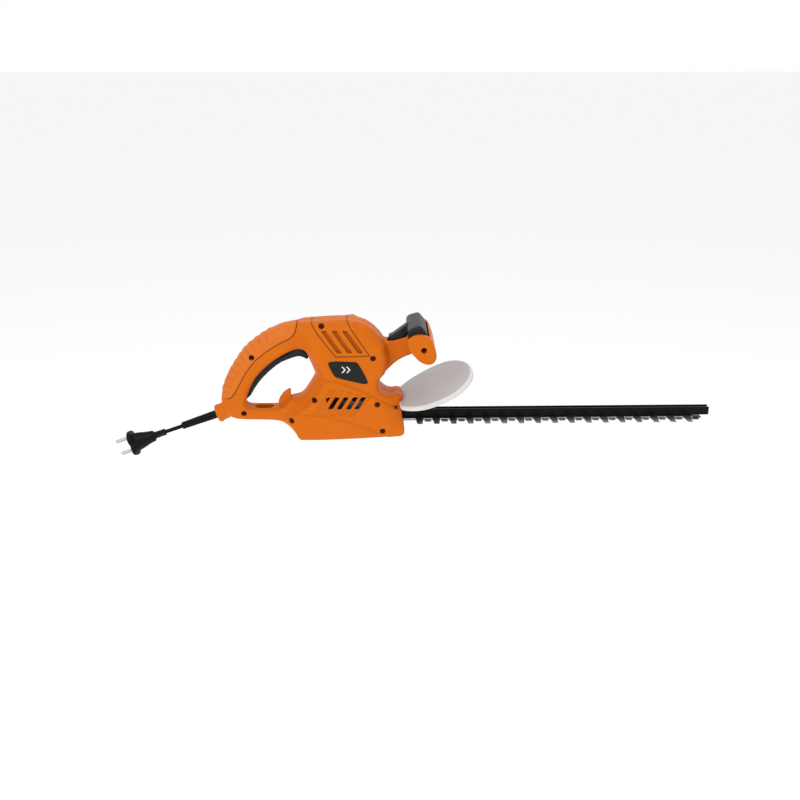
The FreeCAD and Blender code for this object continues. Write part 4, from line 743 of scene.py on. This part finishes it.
def lathe(name, profile_points, segments, body, slot_name, nodes=()):
    """A piece turned about the cord's line from (distance, radius) points."""
    angles = np.linspace(0, 2 * math.pi, segments, endpoint=False)
    points = [(s, r * math.sin(a), r * math.cos(a)) for s, r in profile_points for a in angles]
    faces = []
    count = len(profile_points)
    for i in range(count):
        for j in range(segments):
            k, n = (j + 1) % segments, (i + 1) % count
            faces.append((i * segments + j, i * segments + k, n * segments + k, n * segments + j))
    return mesh_piece(name, from_cord_axes(points), faces, body, slot_name, nodes)


sleeve_profile = [(-14, 3.05), (-14, 8.2), (-11.2, 8.2), (-11, 5.6), (0, 5.8)]
for k in range(9):
    start = 5 + 5.1 * k
    out = 6.0 - 0.8 * (start / 52)
    sleeve_profile += [(start, out), (start + 0.5, out - 0.4), (start + 1.1, out - 0.4),
                       (start + 1.6, out - 0.05)]
sleeve_profile += [(51, 5.2), (52, 4.8), (52, 3.05)]
lathe("strain_relief", sleeve_profile, 56, "housing", "cord_rubber", ["cord_sleeve"])

small = Block((76, -17, -21), (136, 17, 21), 0.6)
s, across, rise = small.x, small.y, small.z
tall = 8.2 + 5.4 * smooth_step((s - 96) / 30)
wide = 7.4 + 2.0 * smooth_step((s - 96) / 30)
oval = (np.sqrt((rise / tall) ** 2 + (across / wide) ** 2) - 1) * np.minimum(tall, wide)
body_of_plug = meet(oval, np.abs(s - 111.5) - 16.5, 3.0)
relief = np.sqrt(across ** 2 + rise ** 2) - (4.3 + 0.7 * (np.sin((s - 79) * 2 * math.pi / 3.4) > -0.3))
relief = np.maximum(relief, np.abs(s - 88) - 9.5)
disc = np.maximum(np.sqrt(across ** 2 + rise ** 2) - 18.2, np.abs(across) - 14.3)
disc = meet(disc, np.abs(s - 128.3) - 3.2, 1.4)
plug = blend(blend(body_of_plug, relief, 2), disc, 4)
notch = np.sqrt((np.abs(across) - 15.5) ** 2 + rise ** 2) - 4.2
plug = np.maximum(plug, -notch)
finger = np.sqrt((s - 112) ** 2 + (np.abs(across) - 21.5) ** 2 + (rise * 0.6) ** 2) - 13.5
plug = np.maximum(plug, -finger)
plug = np.maximum(plug, -np.maximum(np.sqrt(across ** 2 + rise ** 2) - 2.85, s - 88.2))
for side in (-1, 1):
    socket = np.sqrt(across ** 2 + (rise - side * 9.5) ** 2) - 2.43
    plug = np.maximum(plug, -np.maximum(socket, 125.4 - s))
points, quads = small.surface(plug)
plug_piece = mesh_piece("mains_plug", from_cord_axes(points), quads[:, ::-1], "housing",
                        "plug_rubber", ["plug_body"])

# ---------------------------------------------------------------- floor

floor_mesh = bpy.data.meshes.new("studio_floor")
FLOOR_SIZE, FLOOR_LEVEL = 30.0, -0.6
floor_mesh.from_pydata([(-FLOOR_SIZE, -FLOOR_SIZE, FLOOR_LEVEL), (FLOOR_SIZE, -FLOOR_SIZE, FLOOR_LEVEL),
                        (FLOOR_SIZE, FLOOR_SIZE, FLOOR_LEVEL), (-FLOOR_SIZE, FLOOR_SIZE, FLOOR_LEVEL)],
                       [], [(0, 1, 2, 3)])
floor = bpy.data.objects.new("studio_floor", floor_mesh)
floor_mesh.materials.append(MATERIALS["floor"])
bpy.context.collection.objects.link(floor)
